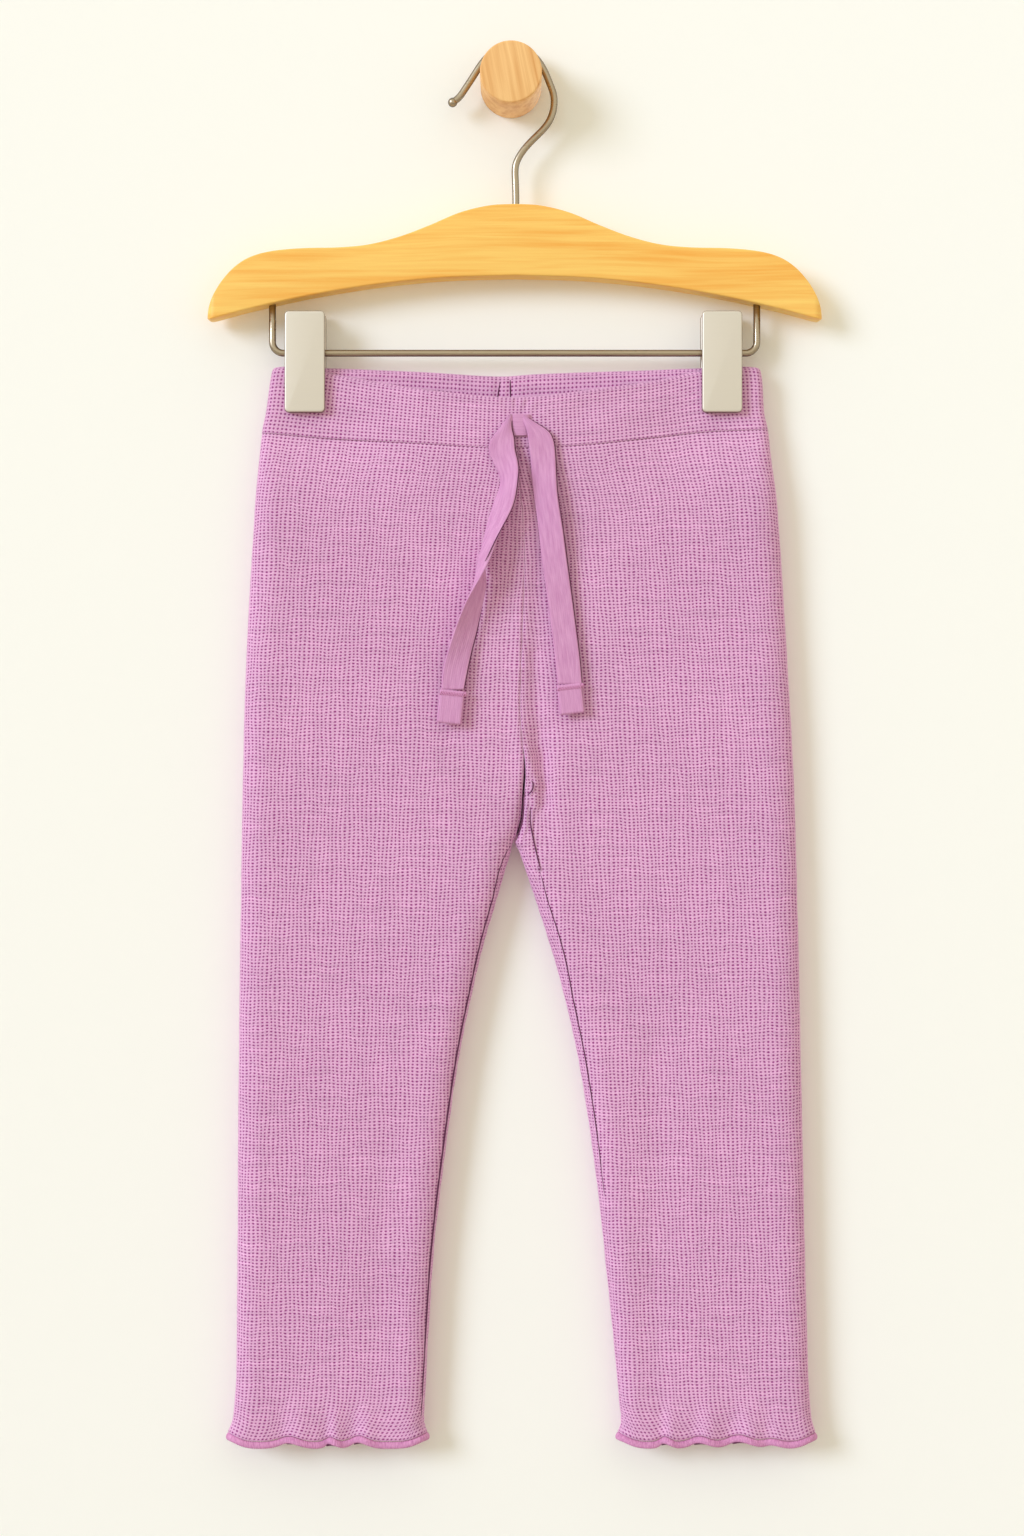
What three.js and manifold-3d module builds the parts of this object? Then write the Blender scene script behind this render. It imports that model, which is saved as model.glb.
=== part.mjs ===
// A child's waffle-knit leggings with a tape drawstring and ruffled hems. They hang by two clips
// from a wooden hanger, whose hook hangs on a wooden wall peg.
// Millimetres, +Z up. The origin is the middle of the peg's back face, on the wall. -Y faces the room.
// Right and left are the wearer's: the right leg is on -X.
import * as THREE from 'three';
import { mergeVertices } from 'three/addons/utils/BufferGeometryUtils.js';
import Module from 'manifold-3d';

const wasm = await Module();
wasm.setup();

// Driving sizes
const SEAM_GAP = 0.3;
const MIDDLE_Y = -10;
const KNIT_WALL = 1.4;
const BAND_WALL = 2.6;
const RIGHT = 'right';
const LEFT = 'left';
const FRONT = 'front';
const BACK = 'back';

const PEG_RADIUS = 15;
const PEG_LENGTH = 31.5;
const PEG_EDGE = 0.8;
const WIRE_RADIUS = 1.7;
const HOOK_BALL_RADIUS = 2.3;
const HOOK_BEND_RADIUS = PEG_RADIUS + WIRE_RADIUS + 0.35;
const HANGER_CENTRE_X = 1.8;
const HANGER_THICKNESS = 12;
const HANGER_EDGE = 1;
const HOLE_RADIUS = WIRE_RADIUS + SEAM_GAP;
const BAR_Z = -132.8;
const BAR_BEND = 5.5;
const BAR_HALF_WIDTH = 118.75;
const BAR_HOLE_DEPTH = 8;
const HOOK_HOLE_DEPTH = 20;
const HOOK_HOLE_MOUTH_Z = -50;
const BAR_HOLE_MOUTH_Z = -130;
const CLIP_WIDTH = 19.6;
const CLIP_TOP_Z = -113;
const CLIP_BOTTOM_Z = -162.5;
const CLIP_PLATE = 4;
const CLIP_CORNER = 2;
const CLIP_EDGE = 0.8;
const CLIP_MIDDLE_X = 1.2;
const CLIP_OFFSET = 101.9;
const PINCHED_HALF_DEPTH = 2.8;
const CLIP_PINCH = { halfWidth: 12, below: 2, across: 34, down: 30 };
const SPRING_INNER = 2;
const SPRING_OUTER = 2.8;
const SPRING_LENGTH = 12;

const TAPE_WIDTH = 12.2;
const TAPE_THICKNESS = 1.2;
const TAPE_Y = -21.1;
const TAB_WIDTH = 13;
const TAB_LENGTH = 15;
const TAB_THICKNESS = 2.6;
const TAB_EDGE = 0.4;
const TAB_CORNER = 0.8;

const CROTCH_Z = -373;
const CLOSING_TOP_Z = -322;
const WAIST_FADE_Z = -250;
const BAND_ENDS = { from: -119, to: 123 };
const LEAST_DEPTH = 0.02;
const MERGE_TOLERANCE = 1e-4;
const PANEL_BOTTOM_Z = -664.6;
const HEM_HEIGHT = 3.5;
const HEM_THICKNESS = 2.2;
const HEM_GAP = 0.5;
const HEM_FLARE = 1.1;
const HEM_WAVE_DEPTH = { front: 1.1, back: 0.8 };
const HEM_CURL = { rise: 3.2, run: 7 };
const HEM_SIDES = 8;
const RUFFLE_TOP_Z = -630;
const CUFF_CELLS = 34;
const PLAIN_CELLS = 12;
const CLOSER_ENDS = 0.5;
const SEAM_RIDGE = {
  topZ: -182, rise: 1.1, width: 4.5, fadeZ: -350, bumpZ: -338, bumpRun: 18, bumpRise: 1.2,
};

// The outer folds of the garment laid flat, from the waist to the flared hem
const SIDE_FOLDS = [
  { z: -139, right: -116.6, left: 121.9 },
  { z: -146, right: -118.0, left: 123.2 },
  { z: -162, right: -120.2, left: 124.2 },
  { z: -170, right: -121.9, left: 125.9 },
  { z: -185, right: -123.5, left: 127.5 },
  { z: -205, right: -125.4, left: 130.3 },
  { z: -234, right: -127.2, left: 132.5 },
  { z: -264, right: -128.9, left: 134.3 },
  { z: -303, right: -130.6, left: 136.7 },
  { z: -342, right: -131.5, left: 138.7 },
  { z: -401, right: -132.5, left: 140.5 },
  { z: -499, right: -133.7, left: 142.6 },
  { z: -577, right: -134.2, left: 144.3 },
  { z: -634, right: -134.8, left: 145.9 },
  { z: -652, right: -135.9, left: 146.9 },
  { z: -660, right: -137.0, left: 147.9 },
  { z: -667, right: -139.8, left: 150.0 },
];

// The inner folds of the two legs, from the crotch down
const INNER_FOLDS = [
  { z: -373, right: 1.15, left: 1.45 },
  { z: -377, right: 0.1, left: 3.9 },
  { z: -386, right: -2.6, left: 6.9 },
  { z: -401, right: -7.0, left: 12.0 },
  { z: -420, right: -12.6, left: 18.3 },
  { z: -440, right: -17.5, left: 24.0 },
  { z: -479, right: -25.5, left: 33.0 },
  { z: -538, right: -33.8, left: 41.9 },
  { z: -577, right: -38.0, left: 46.1 },
  { z: -617, right: -40.5, left: 50.3 },
  { z: -646, right: -42.0, left: 52.8 },
  { z: -660, right: -42.2, left: 53.7 },
  { z: -667, right: -40.0, left: 51.2 },
];

// The rise seams, front and back, from the waist seam to the crotch
const RISE_SEAMS = [
  { z: -140, front: 3.5, back: -3.0 },
  { z: -180, front: 3.6, back: -2.5 },
  { z: -227, front: 6.6, back: -1.0 },
  { z: -303, front: 4.6, back: 0.6 },
  { z: -318, front: 5.1, back: 0.8 },
  { z: -336, front: 6.7, back: 1.0 },
  { z: -350, front: 5.9, back: 1.2 },
  { z: -360, front: 5.2, back: 1.3 },
  { z: -367, front: 3.7, back: 1.3 },
  { z: -373, front: 1.3, back: 1.3 },
];

// How far each wall stands from the middle plane, and how wide its rounded side folds are
const FULLNESS = [
  { z: -139, front: 7.8, back: 4.4, fold: 3.6 },
  { z: -160, front: 8.3, back: 4.6, fold: 3.8 },
  { z: -182, front: 8.2, back: 5.0, fold: 7 },
  { z: -205, front: 7.8, back: 5.6, fold: 11 },
  { z: -240, front: 7.3, back: 6.2, fold: 14 },
  { z: -300, front: 7.0, back: 6.6, fold: 14 },
  { z: -372, front: 6.8, back: 6.8, fold: 14 },
  { z: -450, front: 7.4, back: 7.2, fold: 14 },
  { z: -560, front: 7.1, back: 7.0, fold: 13 },
  { z: -640, front: 6.8, back: 6.0, fold: 11 },
  { z: -664, front: 7.2, back: 5.2, fold: 9 },
];

// Heights along the waist: the front edge sags between the clips, the back edge stays high
const WAIST_LINES = [
  { x: -122, front: -140.2, back: -140.2, seam: -171.6 },
  { x: -112, front: -139.6, back: -139.6, seam: -172.3 },
  { x: -91, front: -141.6, back: -140.0, seam: -174.2 },
  { x: -45, front: -148.5, back: -141.6, seam: -177.3 },
  { x: -7, front: -155.0, back: -143.7, seam: -179.6 },
  { x: 12, front: -154.8, back: -142.6, seam: -179.4 },
  { x: 39, front: -151.4, back: -141.6, seam: -177.8 },
  { x: 69, front: -147.0, back: -140.8, seam: -174.2 },
  { x: 92, front: -141.9, back: -140.0, seam: -171.4 },
  { x: 114, front: -139.6, back: -139.6, seam: -170.4 },
  { x: 126, front: -140.2, back: -140.2, seam: -169.9 },
];

// Soft folds: each is a trough (sinks) or ridge (rises) along a line, with its half width
const FOLDS = [
  { side: FRONT, x0: -82, z0: -146, x1: -28, z1: -163, rise: -0.8, width: 6 },
  { side: FRONT, x0: 84, z0: -145, x1: 36, z1: -161, rise: -0.8, width: 6 },
  { side: FRONT, x0: 15, z0: -205, x1: 12, z1: -330, rise: -1.3, width: 7 },
  { side: FRONT, x0: 16, z0: -320, x1: 15, z1: -372, rise: -1.6, width: 6 },
  { side: FRONT, x0: -30, z0: -320, x1: -6, z1: -360, rise: -0.7, width: 9 },
  { side: FRONT, x0: 72, z0: -470, x1: 70, z1: -650, rise: -1.0, width: 11 },
  { side: FRONT, x0: -60, z0: -520, x1: -66, z1: -650, rise: -0.8, width: 12 },
  { side: BACK, x0: -75, z0: -190, x1: -14, z1: -330, rise: -0.9, width: 12 },
  { side: BACK, x0: 80, z0: -190, x1: 18, z1: -335, rise: -0.9, width: 12 },
  { side: BACK, x0: -70, z0: -480, x1: -80, z1: -650, rise: -0.9, width: 12 },
  { side: BACK, x0: 95, z0: -460, x1: 88, z1: -650, rise: -1.0, width: 12 },
];

// Where each cuff's hem arches up: the arch's middle, its half width and how far it rises
const HEM_ARCHES = {
  right: {
    front: [
      { x: -107.5, width: 6.5, rise: 2.6 }, { x: -87.8, width: 3.4, rise: 2.3 },
      { x: -73.5, width: 5.5, rise: 2.9 },
    ],
    back: [
      { x: -119, width: 6, rise: 2.4 }, { x: -98, width: 5, rise: 2.8 }, { x: -80, width: 4.5, rise: 2.2 },
      { x: -62, width: 6, rise: 2.6 },
    ],
  },
  left: {
    front: [
      { x: 75.6, width: 3.6, rise: 2.4 }, { x: 92.7, width: 6, rise: 2.7 },
      { x: 112.2, width: 7.5, rise: 3.3 }, { x: 127.8, width: 5, rise: 1.6 },
    ],
    back: [
      { x: 69, width: 5, rise: 2.4 }, { x: 86, width: 6, rise: 2.6 }, { x: 104, width: 4.5, rise: 2.4 },
      { x: 125, width: 6.5, rise: 2.8 },
    ],
  },
};

// Heights of the rows of a leg panel, and how many cells the close rows near the cuff have across
const PLAIN_ROWS = [
  -171, -178, -192, -212, -236, -262, -290, -316, -334, -348, -358, -366, -371, CROTCH_Z, -377, -386, -401,
  -424, -455, -490, -530, -572, -612,
];
const CUFF_ROWS = [
  { z: -636, cells: 20 }, { z: -651, cells: CUFF_CELLS }, { z: -659, cells: CUFF_CELLS },
  { z: PANEL_BOTTOM_Z, cells: CUFF_CELLS },
];
const PANEL_ROWS = [...PLAIN_ROWS.map((z) => ({ z, cells: PLAIN_CELLS })), ...CUFF_ROWS];
const BAND_CELLS = 26;
const BAND_ROWS = [
  { share: 0, wall: 0.4 }, { share: 0.05, wall: 1 }, { share: 0.35, wall: 1 }, { share: 0.7, wall: 1 },
  { share: 1, wall: 1 },
];

// The hanger's half outline: distance from its middle, and height
const HANGER_TOP = [
  { out: 0, z: -60.6 }, { out: 12.2, z: -61.3 }, { out: 26.8, z: -64.8 }, { out: 41.5, z: -71.0 },
  { out: 56.1, z: -76.5 }, { out: 70.8, z: -80.3 }, { out: 85.4, z: -81.8 }, { out: 105, z: -82.3 },
  { out: 119.6, z: -83.8 }, { out: 129.4, z: -86.6 }, { out: 136.7, z: -91.2 }, { out: 143, z: -98 },
  { out: 147.4, z: -105.2 }, { out: 149.6, z: -110.8 }, { out: 150.4, z: -115 },
];
const HANGER_UNDERSIDE = [
  { out: 148.6, z: -116.8 }, { out: 140, z: -114.6 }, { out: 129.4, z: -111.8 }, { out: 105, z: -106.3 },
  { out: 80.5, z: -101.9 }, { out: 56.1, z: -98.6 }, { out: 31.7, z: -96.5 }, { out: 0, z: -95.6 },
];

// The hook's centreline below and beside its round bend, from the shank up and from the ball in
const HOOK_SHANK = [
  { x: 19.3, z: -1.3 }, { x: 20.8, z: -5.8 }, { x: 21, z: -12 }, { x: 18.3, z: -19.7 },
  { x: 11.4, z: -27.4 }, { x: 4.95, z: -34.9 }, { x: 2.3, z: -40.7 }, { x: 2.1, z: -47 },
  { x: 2.1, z: -60.6 - HOOK_HOLE_DEPTH },
];
const HOOK_END = [{ x: -28.6, z: -9.8 }, { x: -26.2, z: -8.0 }, { x: -22.9, z: -3.8 }, { x: -19.2, z: 1.8 }];
const HOOK_BEND = { fromDegrees: 147, toDegrees: 30, steps: 9 };

// The tape's middle line. Turn is how far the tape is turned about its own length, in degrees.
const TAPE_ROUTES = {
  right: [
    { x: -4.0, z: -168.5, out: 0, turn: 0 }, { x: -4.8, z: -176, out: 0.3, turn: -2 },
    { x: -4.6, z: -181, out: 0.7, turn: -10 }, { x: -3.0, z: -187.3, out: 1.6, turn: -26 },
    { x: -1.2, z: -194.6, out: 2.6, turn: -43 }, { x: -1.4, z: -199.6, out: 2.8, turn: -46 },
    { x: -2.8, z: -205.8, out: 2.8, turn: -46 }, { x: -5.6, z: -213.1, out: 2.8, turn: -49 },
    { x: -8.5, z: -220.4, out: 3.0, turn: -55 }, { x: -11.5, z: -227.7, out: 3.4, turn: -66 },
    { x: -13.2, z: -234, out: 3.8, turn: -78 }, { x: -15.0, z: -243.5, out: 4.0, turn: -100 },
    { x: -17.5, z: -253.5, out: 3.5, turn: -127 }, { x: -20.1, z: -261.8, out: 2.8, turn: -143 },
    { x: -23.1, z: -273.4, out: 1.9, turn: -157 }, { x: -26.1, z: -284.6, out: 1.0, turn: -170 },
    { x: -28.6, z: -295.5, out: 0.4, turn: -180 },
  ],
  left: [
    { x: 13.6, z: -168.5, out: 0.2, turn: 0 }, { x: 14.7, z: -177.9, out: 0.4, turn: 0 },
    { x: 15.5, z: -187.5, out: 0.6, turn: -8 }, { x: 16.3, z: -198.1, out: 1.0, turn: -18 },
    { x: 17.3, z: -205.8, out: 1.2, turn: -22 }, { x: 19.4, z: -219.9, out: 1.1, turn: -18 },
    { x: 21.3, z: -234, out: 0.6, turn: -9 }, { x: 23.6, z: -254.5, out: 0.1, turn: 0 },
    { x: 25.9, z: -273, out: 0, turn: 0 }, { x: 28.1, z: -293.4, out: 0, turn: 0 },
  ],
};
const TAPE_STEPS = 48;
const BRIDGE = { xFrom: -0.2, xTo: 9.2, top: -163.4, bottom: -175.1, out: 1.5 };

// Finishes
const CLOTH = new THREE.MeshStandardMaterial({ color: 0xd39bbd, roughness: 0.95 });
const HEM_THREAD = new THREE.MeshStandardMaterial({ color: 0xcf86b3, roughness: 0.9 });
const TAPE = new THREE.MeshStandardMaterial({ color: 0xd399bc, roughness: 0.85 });
const HANGER_WOOD = new THREE.MeshStandardMaterial({ color: 0xfcbc57, roughness: 0.5 });
const PEG_WOOD = new THREE.MeshStandardMaterial({ color: 0xf2bb75, roughness: 0.6 });
const STEEL_WIRE = new THREE.MeshStandardMaterial({ color: 0x806846, roughness: 0.35, metalness: 1 });
const CLIP_METAL = new THREE.MeshStandardMaterial({ color: 0xdfd5c3, roughness: 0.4, metalness: 0.9 });

const group = new THREE.Group();

/** Adds one named solid with its own copy of a finish. */
function addPiece(name, geometry, finish) {
  const mesh = new THREE.Mesh(geometry, finish.clone());
  mesh.name = name;
  group.add(mesh);
}

/** Reads one column of a table at a place between its rows, on a smooth curve. */
function read(table, key, column, at) {
  const ascending = table[table.length - 1][key] > table[0][key];
  const rows = ascending ? table : [...table].reverse();
  const last = rows.length - 1;
  if (at <= rows[0][key]) return rows[0][column];
  if (at >= rows[last][key]) return rows[last][column];
  const i = rows.findIndex((row) => row[key] > at) - 1;
  const slope = (k) => {
    const before = rows[Math.max(k - 1, 0)];
    const after = rows[Math.min(k + 1, last)];
    return (after[column] - before[column]) / (after[key] - before[key]);
  };
  const run = rows[i + 1][key] - rows[i][key];
  const t = (at - rows[i][key]) / run;
  const start = (1 + 2 * t) * (1 - t) ** 2 * rows[i][column] + t * (1 - t) ** 2 * run * slope(i);
  const end = t * t * (3 - 2 * t) * rows[i + 1][column] + t * t * (t - 1) * run * slope(i + 1);
  return start + end;
}

/** Rises smoothly from 0 to 1 as a value goes from one place to another. */
function smoothStep(from, to, value) {
  const t = THREE.MathUtils.clamp((value - from) / (to - from), 0, 1);
  return t * t * (3 - 2 * t);
}

/** Turns any geometry into an indexed one with shared vertices. */
function shared(geometry) {
  const bare = geometry.clone();
  bare.deleteAttribute('normal');
  bare.deleteAttribute('uv');
  return mergeVertices(bare, MERGE_TOLERANCE);
}

/** Makes a boolean solid from a closed geometry. */
function toSolid(geometry) {
  const merged = shared(geometry);
  const vertProperties = new Float32Array(merged.attributes.position.array);
  const triVerts = new Uint32Array(merged.index.array);
  return new wasm.Manifold(new wasm.Mesh({ numProp: 3, vertProperties, triVerts }));
}

/** Gives a boolean solid back as a geometry. */
function toGeometry(solid) {
  const mesh = solid.getMesh();
  const geometry = new THREE.BufferGeometry();
  geometry.setAttribute('position', new THREE.BufferAttribute(new Float32Array(mesh.vertProperties), 3));
  geometry.setIndex(new THREE.BufferAttribute(new Uint32Array(mesh.triVerts), 1));
  return geometry;
}

/** Builds a geometry from points and triangles, with its faces turned outwards. */
function closedBody(points, triangles) {
  let sixVolumes = 0;
  for (const [a, b, c] of triangles) {
    sixVolumes += points[a].dot(new THREE.Vector3().crossVectors(points[b], points[c]));
  }
  const faces = sixVolumes > 0 ? triangles : triangles.map(([a, b, c]) => [a, c, b]);
  const geometry = new THREE.BufferGeometry().setFromPoints(points);
  geometry.setIndex(faces.flat());
  return geometry;
}

/** Joins two rows of vertices with triangles. Shares tell how far across each vertex stands. */
function stitchRows(upper, lower, upperShares, lowerShares, triangles) {
  let a = 0;
  let b = 0;
  while (a < upper.length - 1 || b < lower.length - 1) {
    const nextUpper = upperShares[a + 1] ?? Infinity;
    const nextLower = lowerShares[b + 1] ?? Infinity;
    if (nextUpper <= nextLower) {
      triangles.push([upper[a], lower[b], upper[a + 1]]);
      a += 1;
    } else {
      triangles.push([upper[a], lower[b], lower[b + 1]]);
      b += 1;
    }
  }
}

/** Closes a cloth wall from rows of outer and inner points. A row is { share, outer, inner }. */
function clothWall(rows) {
  const points = [];
  const triangles = [];
  const place = (list) => list.map((point) => points.push(point) - 1);
  const grid = rows.map((row) => ({ share: row.share, outer: place(row.outer), inner: place(row.inner) }));
  for (let r = 0; r < grid.length - 1; r += 1) {
    const [upper, lower] = [grid[r], grid[r + 1]];
    stitchRows(upper.outer, lower.outer, upper.share, lower.share, triangles);
    const inside = [];
    stitchRows(upper.inner, lower.inner, upper.share, lower.share, inside);
    triangles.push(...inside.map(([p, q, s]) => [p, s, q]));
    closeSide(upper, lower, triangles);
  }
  closeEnd(grid[0], triangles, false);
  closeEnd(grid[grid.length - 1], triangles, true);
  return closedBody(points, triangles);
}

/** Closes the two upright rims between two rows of a wall. */
function closeSide(upper, lower, triangles) {
  const [o0, o1, i0, i1] = [upper.outer[0], lower.outer[0], upper.inner[0], lower.inner[0]];
  triangles.push([o1, o0, i0], [o1, i0, i1]);
  const [p0, p1, j0, j1] = [upper.outer.at(-1), lower.outer.at(-1), upper.inner.at(-1), lower.inner.at(-1)];
  triangles.push([p0, p1, j1], [p0, j1, j0]);
}

/** Closes the rim along the first or last row of a wall. */
function closeEnd(row, triangles, turned) {
  for (let j = 0; j < row.outer.length - 1; j += 1) {
    const [o0, o1, i0, i1] = [row.outer[j], row.outer[j + 1], row.inner[j], row.inner[j + 1]];
    if (turned) triangles.push([o1, o0, i0], [o1, i0, i1]);
    else triangles.push([o0, o1, i1], [o0, i1, i0]);
  }
}

/** The shares of a row's width at which it has points, closer together towards its two ends. */
function sharesAcross(cells) {
  return Array.from({ length: cells + 1 }, (_, j) => {
    const t = j / cells;
    const even = cells > PLAIN_CELLS ? CLOSER_ENDS : 0;
    return even * t + (1 - even) * (1 - Math.cos(Math.PI * t)) / 2;
  });
}

/** The rounded profile of a folded edge, from 0 at the fold to 1 on the flat. */
function foldProfile(distance, run) {
  const t = Math.min(Math.max(distance, 0) / run, 1);
  return Math.sqrt(1 - (1 - t) ** 2);
}

/** How much the clips pinch the cloth at a place, from 0 to 1. */
function clipPinch(x, z) {
  const aside = Math.max(CLIP_OFFSET - CLIP_PINCH.halfWidth - Math.abs(x - CLIP_MIDDLE_X), 0);
  const below = Math.max(CLIP_BOTTOM_Z - CLIP_PINCH.below - z, 0);
  return Math.exp(-((aside / CLIP_PINCH.across) ** 2)) * Math.exp(-((below / CLIP_PINCH.down) ** 2));
}

/** The height of a soft fold at a place: it fades out sideways and at both its ends. */
function foldRise(fold, x, z) {
  const along = new THREE.Vector2(fold.x1 - fold.x0, fold.z1 - fold.z0);
  const from = new THREE.Vector2(x - fold.x0, z - fold.z0);
  const share = THREE.MathUtils.clamp(from.dot(along) / along.lengthSq(), 0, 1);
  const distance = from.sub(along.multiplyScalar(share)).length();
  return fold.rise * Math.exp(-((distance / fold.width) ** 2));
}

/** The rise of all soft folds and of the front seam's ridge on one side of the garment. */
function reliefAt(side, x, z) {
  let rise = 0;
  for (const fold of FOLDS) {
    if (fold.side === side) rise += foldRise(fold, x, z);
  }
  if (side === FRONT && z < SEAM_RIDGE.topZ) {
    const seam = Math.abs(x - read(RISE_SEAMS, 'z', FRONT, z));
    const bump = 1 + SEAM_RIDGE.bumpRise * Math.exp(-(((z - SEAM_RIDGE.bumpZ) / SEAM_RIDGE.bumpRun) ** 2));
    const ridge = SEAM_RIDGE.rise * bump * Math.exp(-((seam / SEAM_RIDGE.width) ** 2));
    rise += ridge * smoothStep(CROTCH_Z, SEAM_RIDGE.fadeZ, z);
  }
  return rise;
}

/** How far a wall's outer face stands from the middle plane, away from its rounded folds. */
function wallDepth(side, x, z) {
  const free = read(FULLNESS, 'z', side, z) + reliefAt(side, x, z);
  const pinch = clipPinch(x, z);
  return free * (1 - pinch) + PINCHED_HALF_DEPTH * pinch;
}

/** How strongly the cuff ruffles at a height: 0 above it and 1 at its lower edge. */
function ruffleSwell(z) {
  return smoothStep(RUFFLE_TOP_Z, PANEL_BOTTOM_Z, z) ** 2;
}

/** The ruffle at a place: how far it stands out, and how far it lifts. */
function ruffleAt(leg, side, x, z) {
  let [out, lift] = [0, 0];
  for (const arch of HEM_ARCHES[leg][side]) {
    const share = (x - arch.x) / arch.width;
    const bump = arch.rise * Math.exp(-share * share);
    lift += bump;
    out += HEM_WAVE_DEPTH[side] * share * bump;
  }
  return { out: ruffleSwell(z) * out, lift: ruffleSwell(z) * lift };
}

/** How far the cuff's corner curls up at a distance from the nearer fold. */
function cornerCurl(distance, z) {
  return ruffleSwell(z) * HEM_CURL.rise * Math.exp(-((distance / HEM_CURL.run) ** 2));
}

/** The inner edge of a leg panel: the rise seam above the crotch, the inner fold below it. */
function innerEdge(leg, side, z) {
  if (z <= CROTCH_Z) return read(INNER_FOLDS, 'z', leg, z);
  const apart = leg === RIGHT ? -SEAM_GAP / 2 : SEAM_GAP / 2;
  return read(RISE_SEAMS, 'z', side, z) + apart;
}

/** A point of a wall. Inset is 0 on its outer face and the wall's thickness on its inner face. */
function wallPoint({ side, z, outerX, innerX, share, closing, inset, leg }) {
  const width = Math.abs(innerX - outerX);
  const inward = Math.sign(innerX - outerX);
  const travel = share * width;
  const fold = read(FULLNESS, 'z', 'fold', z);
  const profile = foldProfile(travel, fold) * (1 - closing * (1 - foldProfile(width - travel, fold)));
  const x = outerX + inward * (inset + share * (width - inset - inset * closing));
  const ruffle = leg ? ruffleAt(leg, side, x, z) : { out: 0, lift: 0 };
  const curl = leg ? cornerCurl(Math.min(travel, width - travel), z) : 0;
  const depth = wallDepth(side, x, z) + ruffle.out - SEAM_GAP / 2 - inset;
  const reach = SEAM_GAP / 2 + Math.max(depth, LEAST_DEPTH) * profile;
  const outward = side === FRONT ? -1 : 1;
  return new THREE.Vector3(x, MIDDLE_Y + outward * reach, z + curl + ruffle.lift * profile);
}

/** One wall of a leg, from its side fold to the rise seam and the inner fold. */
function legPanel(leg, side) {
  const top = PANEL_ROWS[0].z;
  const rows = PANEL_ROWS.map((row) => {
    const outerX = read(SIDE_FOLDS, 'z', leg, row.z);
    const innerX = innerEdge(leg, side, row.z);
    const closing = smoothStep(CLOSING_TOP_Z, CROTCH_Z, row.z);
    const share = sharesAcross(row.cells);
    const points = (inset) => share.map((part) => {
      const place = { side, z: row.z, outerX, innerX, share: part, closing, inset, leg };
      const point = wallPoint(place);
      const fade = smoothStep(WAIST_FADE_Z, top, row.z);
      point.z += fade * (read(WAIST_LINES, 'x', 'seam', point.x) - top);
      return point;
    });
    return { share, outer: points(0), inner: points(KNIT_WALL) };
  });
  return clothWall(rows);
}

/** One wall of the waistband, from side fold to side fold, with a soft fold along its top. */
function waistbandWall(side) {
  const share = sharesAcross(BAND_CELLS);
  const rows = BAND_ROWS.map((row) => {
    const points = (face) => share.map((part) => bandPoint(side, row, part, face));
    return { share, outer: points(FRONT), inner: points(BACK) };
  });
  return clothWall(rows);
}

/** A point of the waistband. Its wall narrows to the folded top edge. */
function bandPoint(side, row, part, face) {
  const guess = THREE.MathUtils.lerp(BAND_ENDS.from, BAND_ENDS.to, part);
  const top = read(WAIST_LINES, 'x', side, guess);
  const bottom = read(WAIST_LINES, 'x', 'seam', guess) + SEAM_GAP;
  const z = THREE.MathUtils.lerp(top, bottom, row.share);
  const spare = BAND_WALL * (1 - row.wall) / 2;
  const inset = face === FRONT ? spare : BAND_WALL - spare;
  const outerX = read(SIDE_FOLDS, 'z', RIGHT, z);
  const innerX = read(SIDE_FOLDS, 'z', LEFT, z);
  return wallPoint({ side, z, outerX, innerX, share: part, closing: 1, inset });
}

/** The middle line of a cuff, once round: front from side fold to inner fold, then back again. */
function cuffLoop(leg) {
  const z = PANEL_BOTTOM_Z;
  const outerX = read(SIDE_FOLDS, 'z', leg, z);
  const innerX = read(INNER_FOLDS, 'z', leg, z);
  const share = sharesAcross(CUFF_CELLS).slice(1, -1);
  const walk = (side, parts) => parts.map((part) => {
    const place = { side, z, outerX, innerX, share: part, closing: 1, inset: KNIT_WALL / 2, leg };
    return wallPoint(place);
  });
  const fold = (x) => new THREE.Vector3(x, MIDDLE_Y, z + cornerCurl(0, z));
  const towardInner = Math.sign(innerX - outerX) * KNIT_WALL / 2;
  return [
    fold(outerX + towardInner), ...walk(FRONT, share),
    fold(innerX - towardInner), ...walk(BACK, [...share].reverse()),
  ];
}

/** The rolled, overlocked hem: a rounded cord that follows the cuff's ruffle. */
function rolledHem(leg) {
  const loop = cuffLoop(leg);
  const outward = leg === RIGHT ? -1 : 1;
  const sides = HEM_SIDES;
  const points = [];
  const triangles = [];
  loop.forEach((middle, i) => {
    const before = loop[(i + loop.length - 1) % loop.length];
    const after = loop[(i + 1) % loop.length];
    const along = new THREE.Vector3().subVectors(after, before).setZ(0).normalize();
    const across = new THREE.Vector3(-along.y, along.x, 0);
    for (let k = 0; k < sides; k += 1) {
      const angle = 2 * Math.PI * (k + 0.5) / sides;
      const centre = middle.clone().setZ(middle.z - HEM_GAP - HEM_HEIGHT / 2);
      const round = 1 / Math.cos(Math.PI / sides);
      const flare = outward * HEM_FLARE * (1 - Math.sin(angle)) / 2;
      centre.addScaledVector(across, Math.cos(angle) * HEM_THICKNESS / 2 * round + flare);
      centre.z += Math.sin(angle) * HEM_HEIGHT / 2;
      points.push(centre);
    }
    const next = (i + 1) % loop.length;
    for (let k = 0; k < sides; k += 1) {
      const l = (k + 1) % sides;
      triangles.push([i * sides + k, next * sides + k, i * sides + l]);
      triangles.push([i * sides + l, next * sides + k, next * sides + l]);
    }
  });
  return closedBody(points, triangles);
}

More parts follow.
